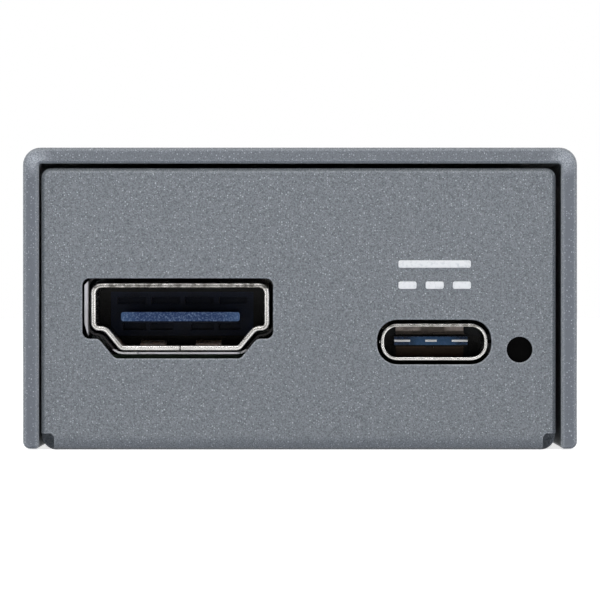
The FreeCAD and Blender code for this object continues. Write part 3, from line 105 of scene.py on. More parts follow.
def add_node(tree: Tree, kind: str, inputs: dict | None = None, **settings) -> Node:
    """Adds a node with its settings, socket values and links.

    Args:
        tree: the material's or world's nodes.
        kind: Blender's name for the node, without the ShaderNode that all of them start with.
        inputs: what each input gets: a node (its first output), a socket or a value. A key that is
            a pair of inputs takes a pair of values.
        settings: the node's own settings.

    Returns:
        The new node.
    """
    node = tree.nodes.new(f"ShaderNode{kind}")
    for name, value in settings.items():
        setattr(node, name, value)
    given = []
    for key, value in (inputs or {}).items():
        given += zip(key, value) if isinstance(key, tuple) else [(key, value)]
    for key, value in given:
        if isinstance(value, bpy.types.Node):
            value = value.outputs[0]
        if isinstance(value, bpy.types.NodeSocket):
            tree.links.new(value, node.inputs[key])
        else:
            node.inputs[key].default_value = value
    return node


@dataclass(frozen=True)
class Surface:
    """A material under work: its nodes, its shader, the place in millimetres and the rim's radius."""

    tree: Tree
    shader: Node
    spot: Node
    rim: float

    def add(self, kind: str, inputs: dict | None = None, **settings) -> Node:
        """Adds a node to the material as add_node does, and returns it."""
        return add_node(self.tree, kind, inputs, **settings)

    def past(self, axis: str, level: float, under: bool = False) -> Node:
        """Gives 1 on one side of a level along an axis, and 0 on the other.

        Args:
            axis: X, Y or Z.
            level: the level in millimetres.
            under: True gives 1 below the level, False above it.

        Returns:
            The node with the answer.
        """
        parts = self.add("SeparateXYZ", {0: self.spot})
        side = "LESS_THAN" if under else "GREATER_THAN"
        return self.add("Math", {0: parts.outputs[axis], 1: level}, operation=side)

    def away(self, axis: str, centre: float = 0.0, of: bpy.types.NodeSocket | None = None) -> Node:
        """Gives the distance from a plane across an axis.

        Args:
            axis: X, Y or Z.
            centre: where the plane is, in millimetres.
            of: the vector that is measured, where it isn't the place on the object.

        Returns:
            The node with the distance.
        """
        parts = self.add("SeparateXYZ", {0: of or self.spot})
        offset = self.add("Math", {0: parts.outputs[axis], 1: centre}, operation="SUBTRACT")
        return self.add("Math", {0: offset}, operation="ABSOLUTE")

    def facing(self, axis: str) -> Node:
        """Gives how squarely a face looks along an axis, either way: 1 is straight, 0 is edge on."""
        return self.away(axis, of=self.add("NewGeometry").outputs["True Normal"])

    def relief(self, height: Node, depth: float) -> None:
        """Raises a height pattern, from 0 to 1, by a depth in millimetres over softened edges."""
        soft = self.add("Bevel", {"Radius": self.rim * MM}, samples=EDGE_RAYS)
        bump = self.add("Bump", {"Height": height, "Distance": depth * MM, "Normal": soft})
        self.tree.links.new(bump.outputs[0], self.shader.inputs["Normal"])

    def paint(self, amount: Node, color: str) -> None:
        """Lays a colour over what the surface has so far.

        Args:
            amount: where the colour goes and how thickly, from 0 to 1.
            color: the colour as an sRGB hex code.
        """
        base = self.shader.inputs["Base Color"]
        under = base.links[0].from_socket if base.is_linked else tuple(base.default_value)
        blend = self.add("Mix", {0: amount, UNDER: under, OVER: linear(color)}, data_type="RGBA")
        self.tree.links.new(blend.outputs[2], base)

    def sheen(self, marks: Node, ends: Span, reach: Span = (0.0, 1.0)) -> None:
        """Makes the roughness follow a pattern.

        Args:
            marks: the pattern.
            ends: the roughness at both ends of its range.
            reach: the part of the pattern's range that counts.
        """
        gloss = self.add("MapRange", {0: marks, FROM: reach, TO: ends})
        self.tree.links.new(gloss.outputs[0], self.shader.inputs["Roughness"])

    def metal(self, where: Node, bare: float, plated: float = 1.0) -> None:
        """Makes the metallic share follow a mask.

        Args:
            where: the mask, from 0 to 1.
            bare: the share where the mask is 1.
            plated: the share where it is 0.
        """
        share = self.add("MapRange", {0: where, TO: (plated, bare)})
        self.tree.links.new(share.outputs[0], self.shader.inputs["Metallic"])


@dataclass(frozen=True)
class Finish:
    """A surface finish: the plain shader values, and a pattern that each kind of finish adds.

    Sizes of patterns are in millimetres. The rim is the radius that softens the glint of an edge.
    """

    name: str
    color: str
    roughness: float = 0.5
    metallic: float = 0.0
    ior: float | None = None
    rim: float = 0.05

    def material(self) -> bpy.types.Material:
        """Gives the finish as a material, made on its first use."""
        known = bpy.data.materials.get(self.name)
        if known:
            return known
        made = bpy.data.materials.new(self.name)
        made.use_nodes = True
        tree = made.node_tree
        shader = tree.nodes["Principled BSDF"]
        shader.inputs["Base Color"].default_value = linear(self.color)
        shader.inputs["Roughness"].default_value = self.roughness
        shader.inputs["Metallic"].default_value = self.metallic
        if self.ior:
            shader.inputs["IOR"].default_value = self.ior
        made.diffuse_color = linear(self.color)
        place = add_node(tree, "TexCoord").outputs["Object"]
        spot = add_node(tree, "VectorMath", {0: place, "Scale": 1 / MM}, operation="SCALE")
        self.pattern(Surface(tree, shader, spot, self.rim))
        return made

    def pattern(self, on: Surface) -> None:
        """Adds the surface's own detail.

        Args:
            on: the material under work.
        """
        raise NotImplementedError


@dataclass(frozen=True)
class PowderCoat(Finish):
    """Polyester powder baked on steel: low leathery bumps that break the sheen into small glints.

    The bumps have the 0.1 mm of a fine texture. Their hollows carry a painted shade, and paler flecks on
    some tops are painted glints. Edges and bends carry a painted highlight; the cover's cut ends are
    darker.
    """

    grain: float = 0.11
    depth: float = 0.045
    gloss: Span = (0.58, 0.40)
    gloss_reach: Span = (0.35, 0.65)
    hollows: Span = (0.28, 0.60)
    dark: str = "#4D5258"
    fleck_gap: float = 0.18
    fleck_stray: float = 0.10
    fleck_reach: Span = (0.12, 0.36)
    fleck_chance: float = 0.45
    fleck_rise: float = 0.25
    pale: str = "#CCD1D7"
    edge_reach: float = 0.3
    edge_turn: Span = (0.995, 0.90)
    edge_share: float = 0.6
    end_facing: Span = (0.6, 0.8)
    cut_half: float = 36.15
    cut_middle: float = -5.85
    cut_tone: str = "#6A6F76"
    cut_share: Span = (0.45, 1.0)
    cut_blend: float = 0.3
    patches: Span = (0.38, 0.62)
    patch_least: float = 0.15
    bend_x: float = 21.9
    bend_z: float = 24.0
    bend_reach: Span = (0.2, 1.5)
    bend_share: float = 0.8

    def pattern(self, on: Surface) -> None:
        """Adds bumps, painted glints on some tops, painted highlights on edges and bends, darker cut ends.
        """
        noise = {"Vector": on.spot, "Scale": 1 / self.grain, "Detail": 2.0, "Roughness": 0.75}
        bumps = on.add("TexNoise", noise)
        # Painted highlight: paler flecks on some bump tops stand in for glints.
        chance, dots = self.flecks(on, bumps)
        tops = on.add("Math", {0: dots, 1: chance}, operation="MULTIPLY")
        raised = on.add("Math", {0: dots, 1: self.fleck_rise}, operation="MULTIPLY")
        height = on.add("Math", {0: bumps, 1: raised}, operation="ADD")
        on.relief(height, self.depth)
        # Painted shade: the hollows between the bumps are painted darker.
        sunk = on.add("MapRange", {0: bumps, FROM: self.hollows, TO: (1.0, 0.0)})
        on.paint(sunk, self.dark)
        ends = on.add("MapRange", {0: on.facing("Y"), FROM: self.end_facing})
        on.paint(self.cut_ends(on, ends), self.cut_tone)
        # Painted highlight: this mask paints the sheet's edges and bends paler, as if they caught the
        # light.
        thin = on.add("Math", {0: self.edges(on), 1: self.bends(on, ends)}, operation="MAXIMUM")
        uneven = on.add("MapRange", {0: bumps, FROM: self.patches, TO: (self.patch_least, 1.0)})
        patchy = on.add("Math", {0: thin, 1: uneven}, operation="MULTIPLY")
        # Painted highlights: the flecks' glints and the edges' and bends' highlights are painted in one
        # pale colour.
        both = on.add("Math", {0: tops, 1: patchy}, operation="MAXIMUM")
        on.paint(both, self.pale)
        on.sheen(bumps, self.gloss, self.gloss_reach)

    def flecks(self, on: Surface, bumps: Node) -> tuple[Node, Node]:
        """Scatters flecks of uneven strength and outline, for the painted glints.

        Args:
            on: the material under work.
            bumps: the noise that shifts them off their regular places.

        Returns:
            The strength of the nearest fleck, and the flecks' shape.
        """
        stray = {0: bumps.outputs["Color"], "Scale": self.fleck_stray}
        drift = on.add("VectorMath", stray, operation="SCALE")
        moved = on.add("VectorMath", {0: on.spot, 1: drift}, operation="ADD")
        cells = on.add("TexVoronoi", {"Vector": moved, "Scale": 1 / self.fleck_gap})
        lot = on.add("SeparateColor", {0: cells.outputs["Color"]})
        chance = on.add("MapRange", {0: lot, FROM: (self.fleck_chance, 1.0)})
        dots = on.add("MapRange", {0: cells, FROM: self.fleck_reach, TO: (1.0, 0.0)})
        return chance, dots

    def edges(self, on: Surface) -> Node:
        """Gives 0 to 1 where the sheet's edges are, by how far a softened direction turns there."""
        wide = on.add("Bevel", {"Radius": self.edge_reach * MM}, samples=EDGE_RAYS)
        true = on.add("NewGeometry").outputs["True Normal"]
        turn = on.add("VectorMath", {0: wide, 1: true}, operation="DOT_PRODUCT")
        share = (0.0, self.edge_share)
        return on.add("MapRange", {0: turn.outputs["Value"], FROM: self.edge_turn, TO: share})

    def cut_ends(self, on: Surface, ends: Node) -> Node:
        """Gives the share of darker powder on the cover's two cut ends, most of all on its walls."""
        reach = on.away("Y", self.cut_middle)
        over = on.add("Math", {0: reach, 1: self.cut_half}, operation="GREATER_THAN")
        both = on.add("Math", {0: over, 1: ends}, operation="MULTIPLY")
        blend = (self.bend_x - self.cut_blend, self.bend_x)
        share = on.add("MapRange", {0: on.away("X"), FROM: blend, TO: self.cut_share})
        return on.add("Math", {0: both, 1: share}, operation="MULTIPLY")

    def bends(self, on: Surface, ends: Node) -> Node:
        """Gives 0 to 1 on the cut ends next to the cover's bends, for a painted highlight there."""
        out = on.away("X")
        across = on.add("Math", {0: out, 1: self.bend_x}, operation="SUBTRACT")
        up = on.away("Z", self.bend_z)
        offset = on.add("CombineXYZ", {0: across, 1: up})
        gap = on.add("VectorMath", {0: offset}, operation="LENGTH").outputs["Value"]
        near = on.add("MapRange", {0: gap, FROM: self.bend_reach, TO: (self.bend_share, 0.0)})
        return on.add("Math", {0: near, 1: ends}, operation="MULTIPLY")


@dataclass(frozen=True)
class Metal(Finish):
    """Plated or bare metal with faint marks of its rolling or turning."""

    metallic: float = 1.0
    stretch: Spot = (1.0, 1.0, 1.0)
    grit: float = 0.12
    depth: float = 0.002
    spread: float = 0.08
    tarnish: str = "#8D8B88"
    clouds: Span = (0.45, 0.75)
    clouds_per_mm: float = 0.45
    cloud_share: float = 0.5
    # Metallic share under the painted shade and painted reflections that some finishes lay on.
    painted_light_metallic: float = 0.2

    def pattern(self, on: Surface) -> None:
        """Adds drawn-out marks, uneven gloss and a trace of tarnish."""
        drawn = on.add("Mapping", {"Vector": on.spot, "Scale": self.stretch})
        marks = on.add("TexNoise", {"Vector": drawn, "Scale": 1 / self.grit, "Detail": 3.0})
        cloud = on.add("TexNoise", {"Vector": on.spot, "Scale": self.clouds_per_mm, "Detail": 2.0})
        on.relief(marks, self.depth)
        smooth = max(self.roughness - self.spread, SMOOTHEST)
        on.sheen(marks, (smooth, self.roughness + self.spread), NOISE)
        dull = on.add("MapRange", {0: cloud, FROM: self.clouds, TO: (0.0, self.cloud_share)})
        on.paint(dull, self.tarnish)


@dataclass(frozen=True)
class ShearedTin(Metal):
    """Tin-plated sheet whose sheared edges above its foot are painted near black as shade."""

    gap_shade: str = "#1E1D1C"
    foot_z: float = 8.3
    edge_facing: float = 0.7

    def pattern(self, on: Surface) -> None:
        """Adds the sheet's rolling marks, then the painted shade on its sheared edges."""
        super().pattern(on)
        cut = on.add("Math", {0: on.facing("Y"), 1: self.edge_facing}, operation="GREATER_THAN")
        over = on.past("Z", self.foot_z)
        sheared = on.add("Math", {0: cut, 1: over}, operation="MULTIPLY")
        # Painted shade: sheared edges above the foot, in the dark gap round the shell, are painted near
        # black.
        on.paint(sheared, self.gap_shade)
        on.metal(sheared, self.painted_light_metallic)


@dataclass(frozen=True)
class ShellNickel(Metal):
    """Nickel-plated socket shell: painted shade on its roof and legs, a painted reflection on its floor."""

    # Colour of the painted reflection on the floor.
    rubbed: str = "#5C463A"
    mouth_y: float = -40.6
    floor_z: float = 9.3
    roof: str = "#5B5955"
    roof_z: float = 13.35
    leg_shade: str = "#0A0908"
    centre_x: float = -9.92
    half_width: float = 8.0
    streaks: Span = (0.35, 0.62)
    streak_least: float = 0.25
    patches: Span = (0.40, 0.55)
    patches_per_mm: float = 2.5
    painted_light_roughness: float = 0.65

    def pattern(self, on: Surface) -> None:
        """Adds the drawing marks, painted shade on roof and legs, and a painted reflection on the floor."""
        super().pattern(on)
        gloss = on.shader.inputs["Roughness"].links[0].from_socket
        noise = {"Vector": on.spot, "Scale": self.patches_per_mm, "Detail": 3.0, "Roughness": 0.7}
        marks = on.add("TexNoise", noise)
        # Painted shade: the top rim is painted darker in streaks.
        high = on.past("Z", self.roof_z)
        dull = on.add("MapRange", {0: marks, FROM: self.streaks, TO: (self.streak_least, 1.0)})
        roof = on.add("Math", {0: high, 1: dull}, operation="MULTIPLY")
        on.paint(roof, self.roof)
        # Painted reflection: brown patches on the floor behind the mouth stand in for what the spring
        # fingers reflect.
        behind = on.past("Y", self.mouth_y)
        low = on.past("Z", self.floor_z, under=True)
        floor = on.add("Math", {0: behind, 1: low}, operation="MULTIPLY")
        patches = on.add("MapRange", {0: marks, FROM: self.patches})
        worn = on.add("Math", {0: floor, 1: patches}, operation="MULTIPLY")
        on.paint(worn, self.rubbed)
        # Painted shade: the legs, seen in the gap beside the shell, are painted near black.
        out = on.away("X", self.centre_x)
        legs = on.add("Math", {0: out, 1: self.half_width}, operation="GREATER_THAN")
        on.paint(legs, self.leg_shade)
        # Roughness and metallic share change under the painted floor reflection and the painted leg shade.
        rough = on.add("Math", {0: worn, 1: legs}, operation="MAXIMUM")
        matt = on.add("Mix", {0: rough, 2: gloss, 3: self.painted_light_roughness}, data_type="FLOAT")
        on.tree.links.new(matt.outputs[0], on.shader.inputs["Roughness"])
        on.metal(rough, self.painted_light_metallic)


@dataclass(frozen=True)
class ShadedTin(Metal):
    """Socket ground plates in painted shade, brown below, with painted reflections at both top ends."""

    # Colour of the painted reflections at the upper plate's ends.
    rubbed: str = "#CDBFB8"
    reflection_metallic: float = 0.1
    lower: str = "#332A24"
    centre_x: float = 11.11
    ends_x: Span = (0.9, 1.6)
    middle_z: float = 9.02
    roof_z: float = 9.78
    roof_blend: float = 0.1
    reflection_reach: Span = (0.35, 0.6)
    reflection_least: float = 0.4
    patches_per_mm: float = 1.3

    def pattern(self, on: Surface) -> None:
        """Adds the rolling marks, the lower plate's painted shade and the upper's painted end reflections.
        """
        super().pattern(on)
        # Painted shade: the lower plate is painted dark brown.
        on.paint(on.past("Z", self.middle_z, under=True), self.lower)
        # Painted reflection: the upper plate is painted pale near the top at both ends.
        height = on.add("SeparateXYZ", {0: on.spot}).outputs["Z"]
        high = on.add("MapRange", {0: height, FROM: (self.roof_z, self.roof_z + self.roof_blend)})
        out = on.away("X", self.centre_x)
        ends = on.add("MapRange", {0: out, FROM: self.ends_x})
        marks = on.add("TexNoise", {"Vector": on.spot, "Scale": self.patches_per_mm, "Detail": 2.0})
        cloudy = on.add("MapRange", {0: marks, FROM: self.reflection_reach, TO: (self.reflection_least, 1.0)})
        corners = on.add("Math", {0: high, 1: ends}, operation="MULTIPLY")
        rubbed = on.add("Math", {0: corners, 1: cloudy}, operation="MULTIPLY")
        on.paint(rubbed, self.rubbed)
        on.metal(rubbed, self.reflection_metallic)


@dataclass(frozen=True)
class Moulding(Finish):
    """Moulded plastic or resin with the fine spark-eroded grain of its mould."""

    ior: float | None = 1.5
    grit: float = 0.10
    depth: float = 0.004
    spread: float = 0.08
    gleam: float = 0.5
    worn: str = "#26292D"
    clouds: Span = (0.4, 0.7)
    clouds_per_mm: float = 0.6
    cloud_share: float = 0.6

    def pattern(self, on: Surface) -> None:
        """Adds the mould's grain and a slow change of tone."""
        on.shader.inputs["Specular IOR Level"].default_value = self.gleam
        grain = on.add("TexNoise", {"Vector": on.spot, "Scale": 1 / self.grit, "Detail": 2.0})
        on.relief(grain, self.depth)
        ends = (self.roughness - self.spread, self.roughness + self.spread)
        on.sheen(grain, ends, NOISE)
        flow = on.add("TexNoise", {"Vector": on.spot, "Scale": self.clouds_per_mm, "Detail": 1.0})
        tone = on.add("MapRange", {0: flow, FROM: self.clouds, TO: (0.0, self.cloud_share)})
        on.paint(tone, self.worn)


@dataclass(frozen=True)
class SocketNylon(Moulding):
    """Glass-filled nylon core: blue-black face framed in painted shade; painted light on the tongue tip."""

    centre_x: float = 0.0
    surround_shade: str = "#030304"
    face_reach: float = 6.0
    face_z: Span = (9.4, 13.1)
    tip_y: float = -40.3
    tip: str = "#28395A"
    tip_end: str = "#476082"
    tip_reach: Span = (3.4, 5.2)
    tip_share: float = 0.8
    fibre_glint: str = "#7387A6"
    fibre_glint_gap: float = 0.16
    fibre_glints: Span = (0.50, 0.72)

    def pattern(self, on: Surface) -> None:
        """Adds the mould's grain, then the painted-shade frame and the tip's painted light and glints."""
        super().pattern(on)
        out = on.away("X", self.centre_x)
        within = on.add("Math", {0: out, 1: self.face_reach}, operation="LESS_THAN")
        low, high = self.face_z
        over = on.past("Z", low)
        under = on.past("Z", high, under=True)
        band = on.add("Math", {0: over, 1: under}, operation="MULTIPLY")
        face = on.add("Math", {0: within, 1: band}, operation="MULTIPLY")
        # Painted shade: all of the core outside its face is painted near black.
        outside = on.add("Math", {0: 1.0, 1: face}, operation="SUBTRACT")
        on.paint(outside, self.surround_shade)
        # Painted light: the tongue's front is a lit copy of the nylon. Its ends get painted light on the
        # HDMI tongue and painted shade on the USB one.
        front = on.past("Y", self.tip_y, under=True)
        on.paint(front, self.tip)
        side = on.add("MapRange", {0: out, FROM: self.tip_reach, TO: (0.0, self.tip_share)})
        ends = on.add("Math", {0: front, 1: side}, operation="MULTIPLY")
        on.paint(ends, self.tip_end)
        # Painted highlight: pale specks on the tip stand in for glints.
        noise = {"Vector": on.spot, "Scale": 1 / self.fibre_glint_gap, "Detail": 2.0, "Roughness": 0.8}
        glass = on.add("TexNoise", noise)
        spread = on.add("MapRange", {0: glass, FROM: self.fibre_glints, TO: (0.0, self.tip_share)})
        fibre_glints = on.add("Math", {0: front, 1: spread}, operation="MULTIPLY")
        on.paint(fibre_glints, self.fibre_glint)


@dataclass(frozen=True)
class SolderMask(Finish):
    """Green mask over copper traces on both faces of a glass-filled board with bare, sawn edges."""

    ior: float | None = 1.5
    trace_gap: float = 1.1
    trace_fold: float = 0.16
    trace_width: Span = (0.09, 0.11)
    trace_height: float = 0.02
    trace: str = "#2C6B45"
    glass: str = "#20371F"
    glass_deep: str = "#101E12"
    layers: Spot = (0.4, 0.4, 7.0)
    face_facing: float = 0.5
    edge_roughness: float = 0.7

    def pattern(self, on: Surface) -> None:
        """Adds paler lines over the traces, and glass layers on the sawn edges."""
        gaps = {"Vector": on.spot, "Scale": 1 / self.trace_gap}
        cells = on.add("TexVoronoi", gaps, feature="F1", distance="CHEBYCHEV")
        rings = on.add("Math", {0: cells, 1: self.trace_fold}, operation="PINGPONG")
        lines = on.add("MapRange", {0: rings, FROM: self.trace_width})
        on.relief(lines, self.trace_height)
        on.paint(lines, self.trace)
        face = on.add("Math", {0: on.facing("Z"), 1: self.face_facing}, operation="GREATER_THAN")
        sawn = on.add("Math", {0: 1.0, 1: face}, operation="SUBTRACT")
        on.paint(sawn, self.glass)
        layers = on.add("Mapping", {"Vector": on.spot, "Scale": self.layers})
        weave = on.add("TexNoise", {"Vector": layers, "Scale": 1.0, "Detail": 3.0})
        deep = on.add("Math", {0: sawn, 1: weave}, operation="MULTIPLY")
        on.paint(deep, self.glass_deep)
        on.sheen(face, (self.edge_roughness, self.roughness))


@dataclass(frozen=True)
class EndCapped(Finish):
    """A small ceramic component whose two ends are dipped in tin.

    The pieces stand in two rows, each as far from the board's centre line as row says.
    """

    ior: float | None = 1.6
    row: float = 0.0
    middle: float = 0.45
    tin: str = "#B9BABB"
    tin_roughness: float = 0.35
    grains_per_mm: float = 9.0
    depth: float = 0.006
    wander: float = 0.03

    def pattern(self, on: Surface) -> None:
        """Turns the body to tin past a distance from its middle."""
        grain = on.add("TexNoise", {"Vector": on.spot, "Scale": self.grains_per_mm, "Detail": 2.0})
        on.relief(grain, self.depth)
        folded = on.away("X")
        inner = on.add("Math", {0: folded, 1: self.row}, operation="SUBTRACT")
        off = on.add("Math", {0: inner}, operation="ABSOLUTE")
        rough = on.add("MapRange", {0: grain, TO: (-self.wander, self.wander)})
        reach = on.add("Math", {0: off, 1: rough}, operation="ADD")
        dipped = on.add("Math", {0: reach, 1: self.middle}, operation="GREATER_THAN")
        on.paint(dipped, self.tin)
        on.metal(dipped, bare=1.0, plated=0.0)
        on.sheen(dipped, (self.roughness, self.tin_roughness))


@dataclass(frozen=True)
class ChipCap(Finish):
    """A processor package: a matt plated lid over a green substrate."""

    metallic: float = 1.0
    seam_z: float = 5.7
    substrate: str = "#1D4A33"
    gloss: Span = (0.35, 0.6)
    depth: float = 0.004
    rolling: Spot = (0.6, 9.0, 1.0)
    marks_per_mm: float = 1.2

    def pattern(self, on: Surface) -> None:
        """Parts the lid from the substrate by height and gives the lid a rolled grain."""
        drawn = on.add("Mapping", {"Vector": on.spot, "Scale": self.rolling})
        marks = on.add("TexNoise", {"Vector": drawn, "Scale": self.marks_per_mm, "Detail": 3.0})
        on.relief(marks, self.depth)
        board = on.past("Z", self.seam_z)
        on.paint(board, self.substrate)
        on.metal(board, bare=0.0)
        on.sheen(marks, self.gloss)


@dataclass(frozen=True)
class SmokedResin(Finish):
    """Smoked epoxy with a slightly frosted skin, in front of the light's chip."""

    ior: float | None = 1.54
    clear: float = 0.5
    frost: float = 0.125
    depth: float = 0.003
    gloss: Span = (0.12, 0.32)

    def pattern(self, on: Surface) -> None:
        """Lets light through and frosts the skin."""
        on.shader.inputs["Transmission Weight"].default_value = self.clear
        frost = on.add("TexNoise", {"Vector": on.spot, "Scale": 1 / self.frost, "Detail": 2.0})
        on.relief(frost, self.depth)
        on.sheen(frost, self.gloss)


@dataclass(frozen=True)
class PrintedInk(Finish):
    """White screen-printing ink that follows the coat's bumps and lets a little grey through."""

    ior: float | None = 1.5
    grain: float = 0.30
    depth: float = 0.02
    thin: str = "#C9CCCF"
    hollows: Span = (0.25, 0.5)
    thin_share: float = 0.7
    gloss: Span = (0.5, 0.65)

    def pattern(self, on: Surface) -> None:
        """Adds the coat's bumps and greyer hollows."""
        noise = {"Vector": on.spot, "Scale": 1 / self.grain, "Detail": 2.0, "Roughness": 0.6}
        bumps = on.add("TexNoise", noise)
        on.relief(bumps, self.depth)
        hollows = on.add("MapRange", {0: bumps, FROM: self.hollows, TO: (self.thin_share, 0.0)})
        on.paint(hollows, self.thin)
        on.sheen(bumps, self.gloss)


# Grey polyester powder coat: satin, with a leathery grain and small painted pale glints.
# Its hollows carry a painted shade, and its edges and bends a painted highlight.
COAT = PowderCoat("powder_coat_grey_satin", "#858A8E", rim=0.20, ior=1.5)
# Bright nickel plate on folded steel: mirror-like, softened by faint drawing marks.
# Its roof and legs carry painted shade, and its floor a painted brown reflection.
HDMI_NICKEL = ShellNickel(
    "nickel_plate_folded", "#DAD8D5", roughness=0.20, stretch=(1.0, 0.12, 1.0), tarnish="#8E8B86",
    rim=0.10,
)
# Bright nickel plate on a deep-drawn shell: a thin, even glint round the mouth.
# Its roof and legs carry painted shade.
USB_NICKEL = ShellNickel(
    "nickel_plate_drawn", "#E2E1DE", roughness=0.16, tarnish="#B5B2AD", rim=0.10, floor_z=7.0,
    roof="#8C8984", roof_z=10.12, centre_x=11.11, half_width=4.5,
)
# Bright nickel plate on turned brass: mirror-like rings.
JACK_NICKEL = Metal("nickel_plate_turned", "#CBC7C0", roughness=0.16, stretch=(0.3, 2.5, 0.3), spread=0.05)
# Tin-plated sheet: softer and whiter than nickel.
TINNED = Metal("tin_plate_sheet", "#C6C7C9", roughness=0.32, grit=0.2, rim=0.03)
# The same sheet as a skin whose sheared front edges show, painted near black as shade above the foot.
SHEARED = ShearedTin("tin_plate_sheared", "#D4D5D7", roughness=0.34, grit=0.2, rim=0.12)
# Its lips at the mouth, rubbed matt by plugs: pale grey without a glint.
RUBBED_TIN = Metal(
    "tin_plate_rubbed", "#C4C3C6", roughness=0.62, metallic=0.35, grit=0.2, depth=0.004, rim=0.03
)
# Tin plate deep in the power socket, painted dark brownish grey as shade.
SHADED_TIN = ShadedTin("tin_plate_painted_shade", "#4E4844", roughness=0.34, tarnish="#322D2A", rim=0.02)
# Zinc-plated turned steel: pale and slightly cloudy.
TURNED = Metal("zinc_plate_turned", "#A9ABAE", roughness=0.34, stretch=(1.0, 1.0, 4.0), rim=0.04)
# Blackened steel screws: dark, oily sheen.
BLACKENED = Metal("steel_blackened", "#46474A", roughness=0.42, tarnish="#2C2C2E", rim=0.04)
# Hard gold flash over nickel: warm and smooth.
GOLD = Metal("gold_flash_contact", "#D9B062", roughness=0.22, tarnish="#B18C45", rim=0.02)
# Solder: bright, wet-looking tin alloy.
SOLDER = Metal("solder_tin_alloy", "#C4C6C8", roughness=0.22, grit=0.3, depth=0.004)
# Glass-filled nylon of the HDMI socket: blue-black, half gloss, with painted light and painted glints on
# its tip.
HDMI_NYLON = SocketNylon(
    "nylon_glass_filled_blue", "#18233C", roughness=0.30, worn="#101829", gleam=0.12, grit=0.08,
    depth=0.012, centre_x=-9.92,
)
# The same nylon, darker, in the power socket, with the same kinds of painted marks on its tip.
USB_NYLON = SocketNylon(
    "nylon_glass_filled_black", "#0B0F18", roughness=0.30, worn="#06080C", gleam=0.12, grit=0.08,
    depth=0.012, tip="#29415A", tip_end="#0A0F19", fibre_glint="#37496A", centre_x=11.11, tip_reach=(1.3, 2.2),
)
# White fluoroplastic of the jacks: waxy and matt.
JACK_PTFE = Moulding("ptfe_white", "#E4E4E0", roughness=0.48, ior=1.38, worn="#D8D7D0", rim=0.08)
# Black chip resin: matt with a fine grain.
CHIP_RESIN = Moulding("epoxy_resin_black", "#1C1D1F", roughness=0.56, worn="#26272A", depth=0.006)
# Pressed ferrite: dark grey, matt and slightly sandy.
FERRITE = Moulding("ferrite_pressed", "#37383B", roughness=0.7, worn="#424347", grit=0.15, depth=0.012)
# Yellow resin of the bulk capacitors: smooth, half gloss.
YELLOW_RESIN = Moulding("epoxy_resin_yellow", "#D9A63C", roughness=0.4, worn="#C9932B")
# Soft silicone pad: matt grey-blue.
SILICONE = Moulding("silicone_pad_grey_blue", "#8E99AD", roughness=0.8, ior=1.41, worn="#848FA2", grit=0.25)
# Black heat-proof nylon of the light's body: matt and lightless.
LAMP_NYLON = Moulding("nylon_black_matt", "#151516", roughness=0.6, worn="#1B1B1D")
# Nickel silver can of the crystal: brushed along its length.
CAN = Metal("nickel_can_brushed", "#BDBCB8", roughness=0.3, stretch=(0.2, 3.0, 1.0))
# Solder mask on glass-filled epoxy: glossy deep green with paler traces.
MASK = SolderMask("solder_mask_green", "#175230", roughness=0.28)
# Fired ceramic capacitors: tan bodies between two silvery ends.
CERAMIC = EndCapped("ceramic_brown_tinned", "#8A6544", roughness=0.45, row=3.2, middle=0.5)
# Thick-film resistors: black bodies between two silvery ends.
RESISTOR = EndCapped("resistor_black_tinned", "#1B1B1D", roughness=0.45, row=10.0, middle=0.32)
# Nickel-plated copper lid of the processor: matt, with a rolled grain.
LID = ChipCap("chip_lid_plated", "#9A9C9F", roughness=0.45)
# Smoked epoxy lens: dark while the light is off.
LENS = SmokedResin("epoxy_smoked_frosted", "#26262A", roughness=0.2)
# Black disc behind the light's hole that stands in for the shade inside it: matt black.
SHADE_DISC = Moulding("painted_shade_black", "#020202", roughness=0.5, worn="#030303", gleam=0.05)
# White screen-printing ink: matt and nearly even.
INK = PrintedInk("ink_white_screen_print", "#F1F2F2", roughness=0.55)


def dress(finish: Finish, *names: str) -> None:
    """Gives CAD nodes a finish through their objects' material slots."""
    for name in names:
        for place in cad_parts[name].material_slots:
            place.material = finish.material()
    LOG.info("dressed %s: %s", ", ".join(names), finish.name)


def take(piece: Piece) -> None:
    """Deselects everything and makes a piece the only selected and the active one."""
    bpy.ops.object.select_all(action="DESELECT")
    piece.select_set(True)
    bpy.context.view_layer.objects.active = piece


def settle() -> None:
    """Puts the active piece's place, turn and size into its mesh."""
    bpy.ops.object.transform_apply(location=True, rotation=True, scale=True)


def start_box(name: str, low: Spot, high: Spot) -> Piece:
    """Starts a piece as a box between two corners and leaves it in edit mode.

    Args:
        name: the piece's name.
        low: its low corner in millimetres.
        high: its high corner in millimetres.

    Returns:
        The new piece.
    """
    bpy.ops.object.select_all(action="DESELECT")
    bpy.ops.mesh.primitive_cube_add(
        size=1, location=[(a + b) / 2 * MM for a, b in zip(low, high)],
        scale=[(b - a) * MM for a, b in zip(low, high)],
    )
    piece = bpy.context.object
    piece.name = piece.data.name = name
    settle()
    bpy.ops.object.mode_set(mode="EDIT")
    return piece


def pull(x: float = 0.0, y: float = 0.0, z: float = 0.0) -> None:
    """Extrudes the selected faces, in edit mode, by a move in millimetres."""
    bpy.ops.mesh.extrude_region_move(TRANSFORM_OT_translate={"value": (x * MM, y * MM, z * MM)})


def round_edges(radius: float, segments: int) -> None:
    """Rounds the selected edges, in edit mode, and leaves edit mode.

    Args:
        radius: the rounding in millimetres.
        segments: how many faces it has across.
    """
    bpy.ops.mesh.bevel(offset=radius * MM, segments=segments, affect="EDGES")
    bpy.ops.object.mode_set(mode="OBJECT")


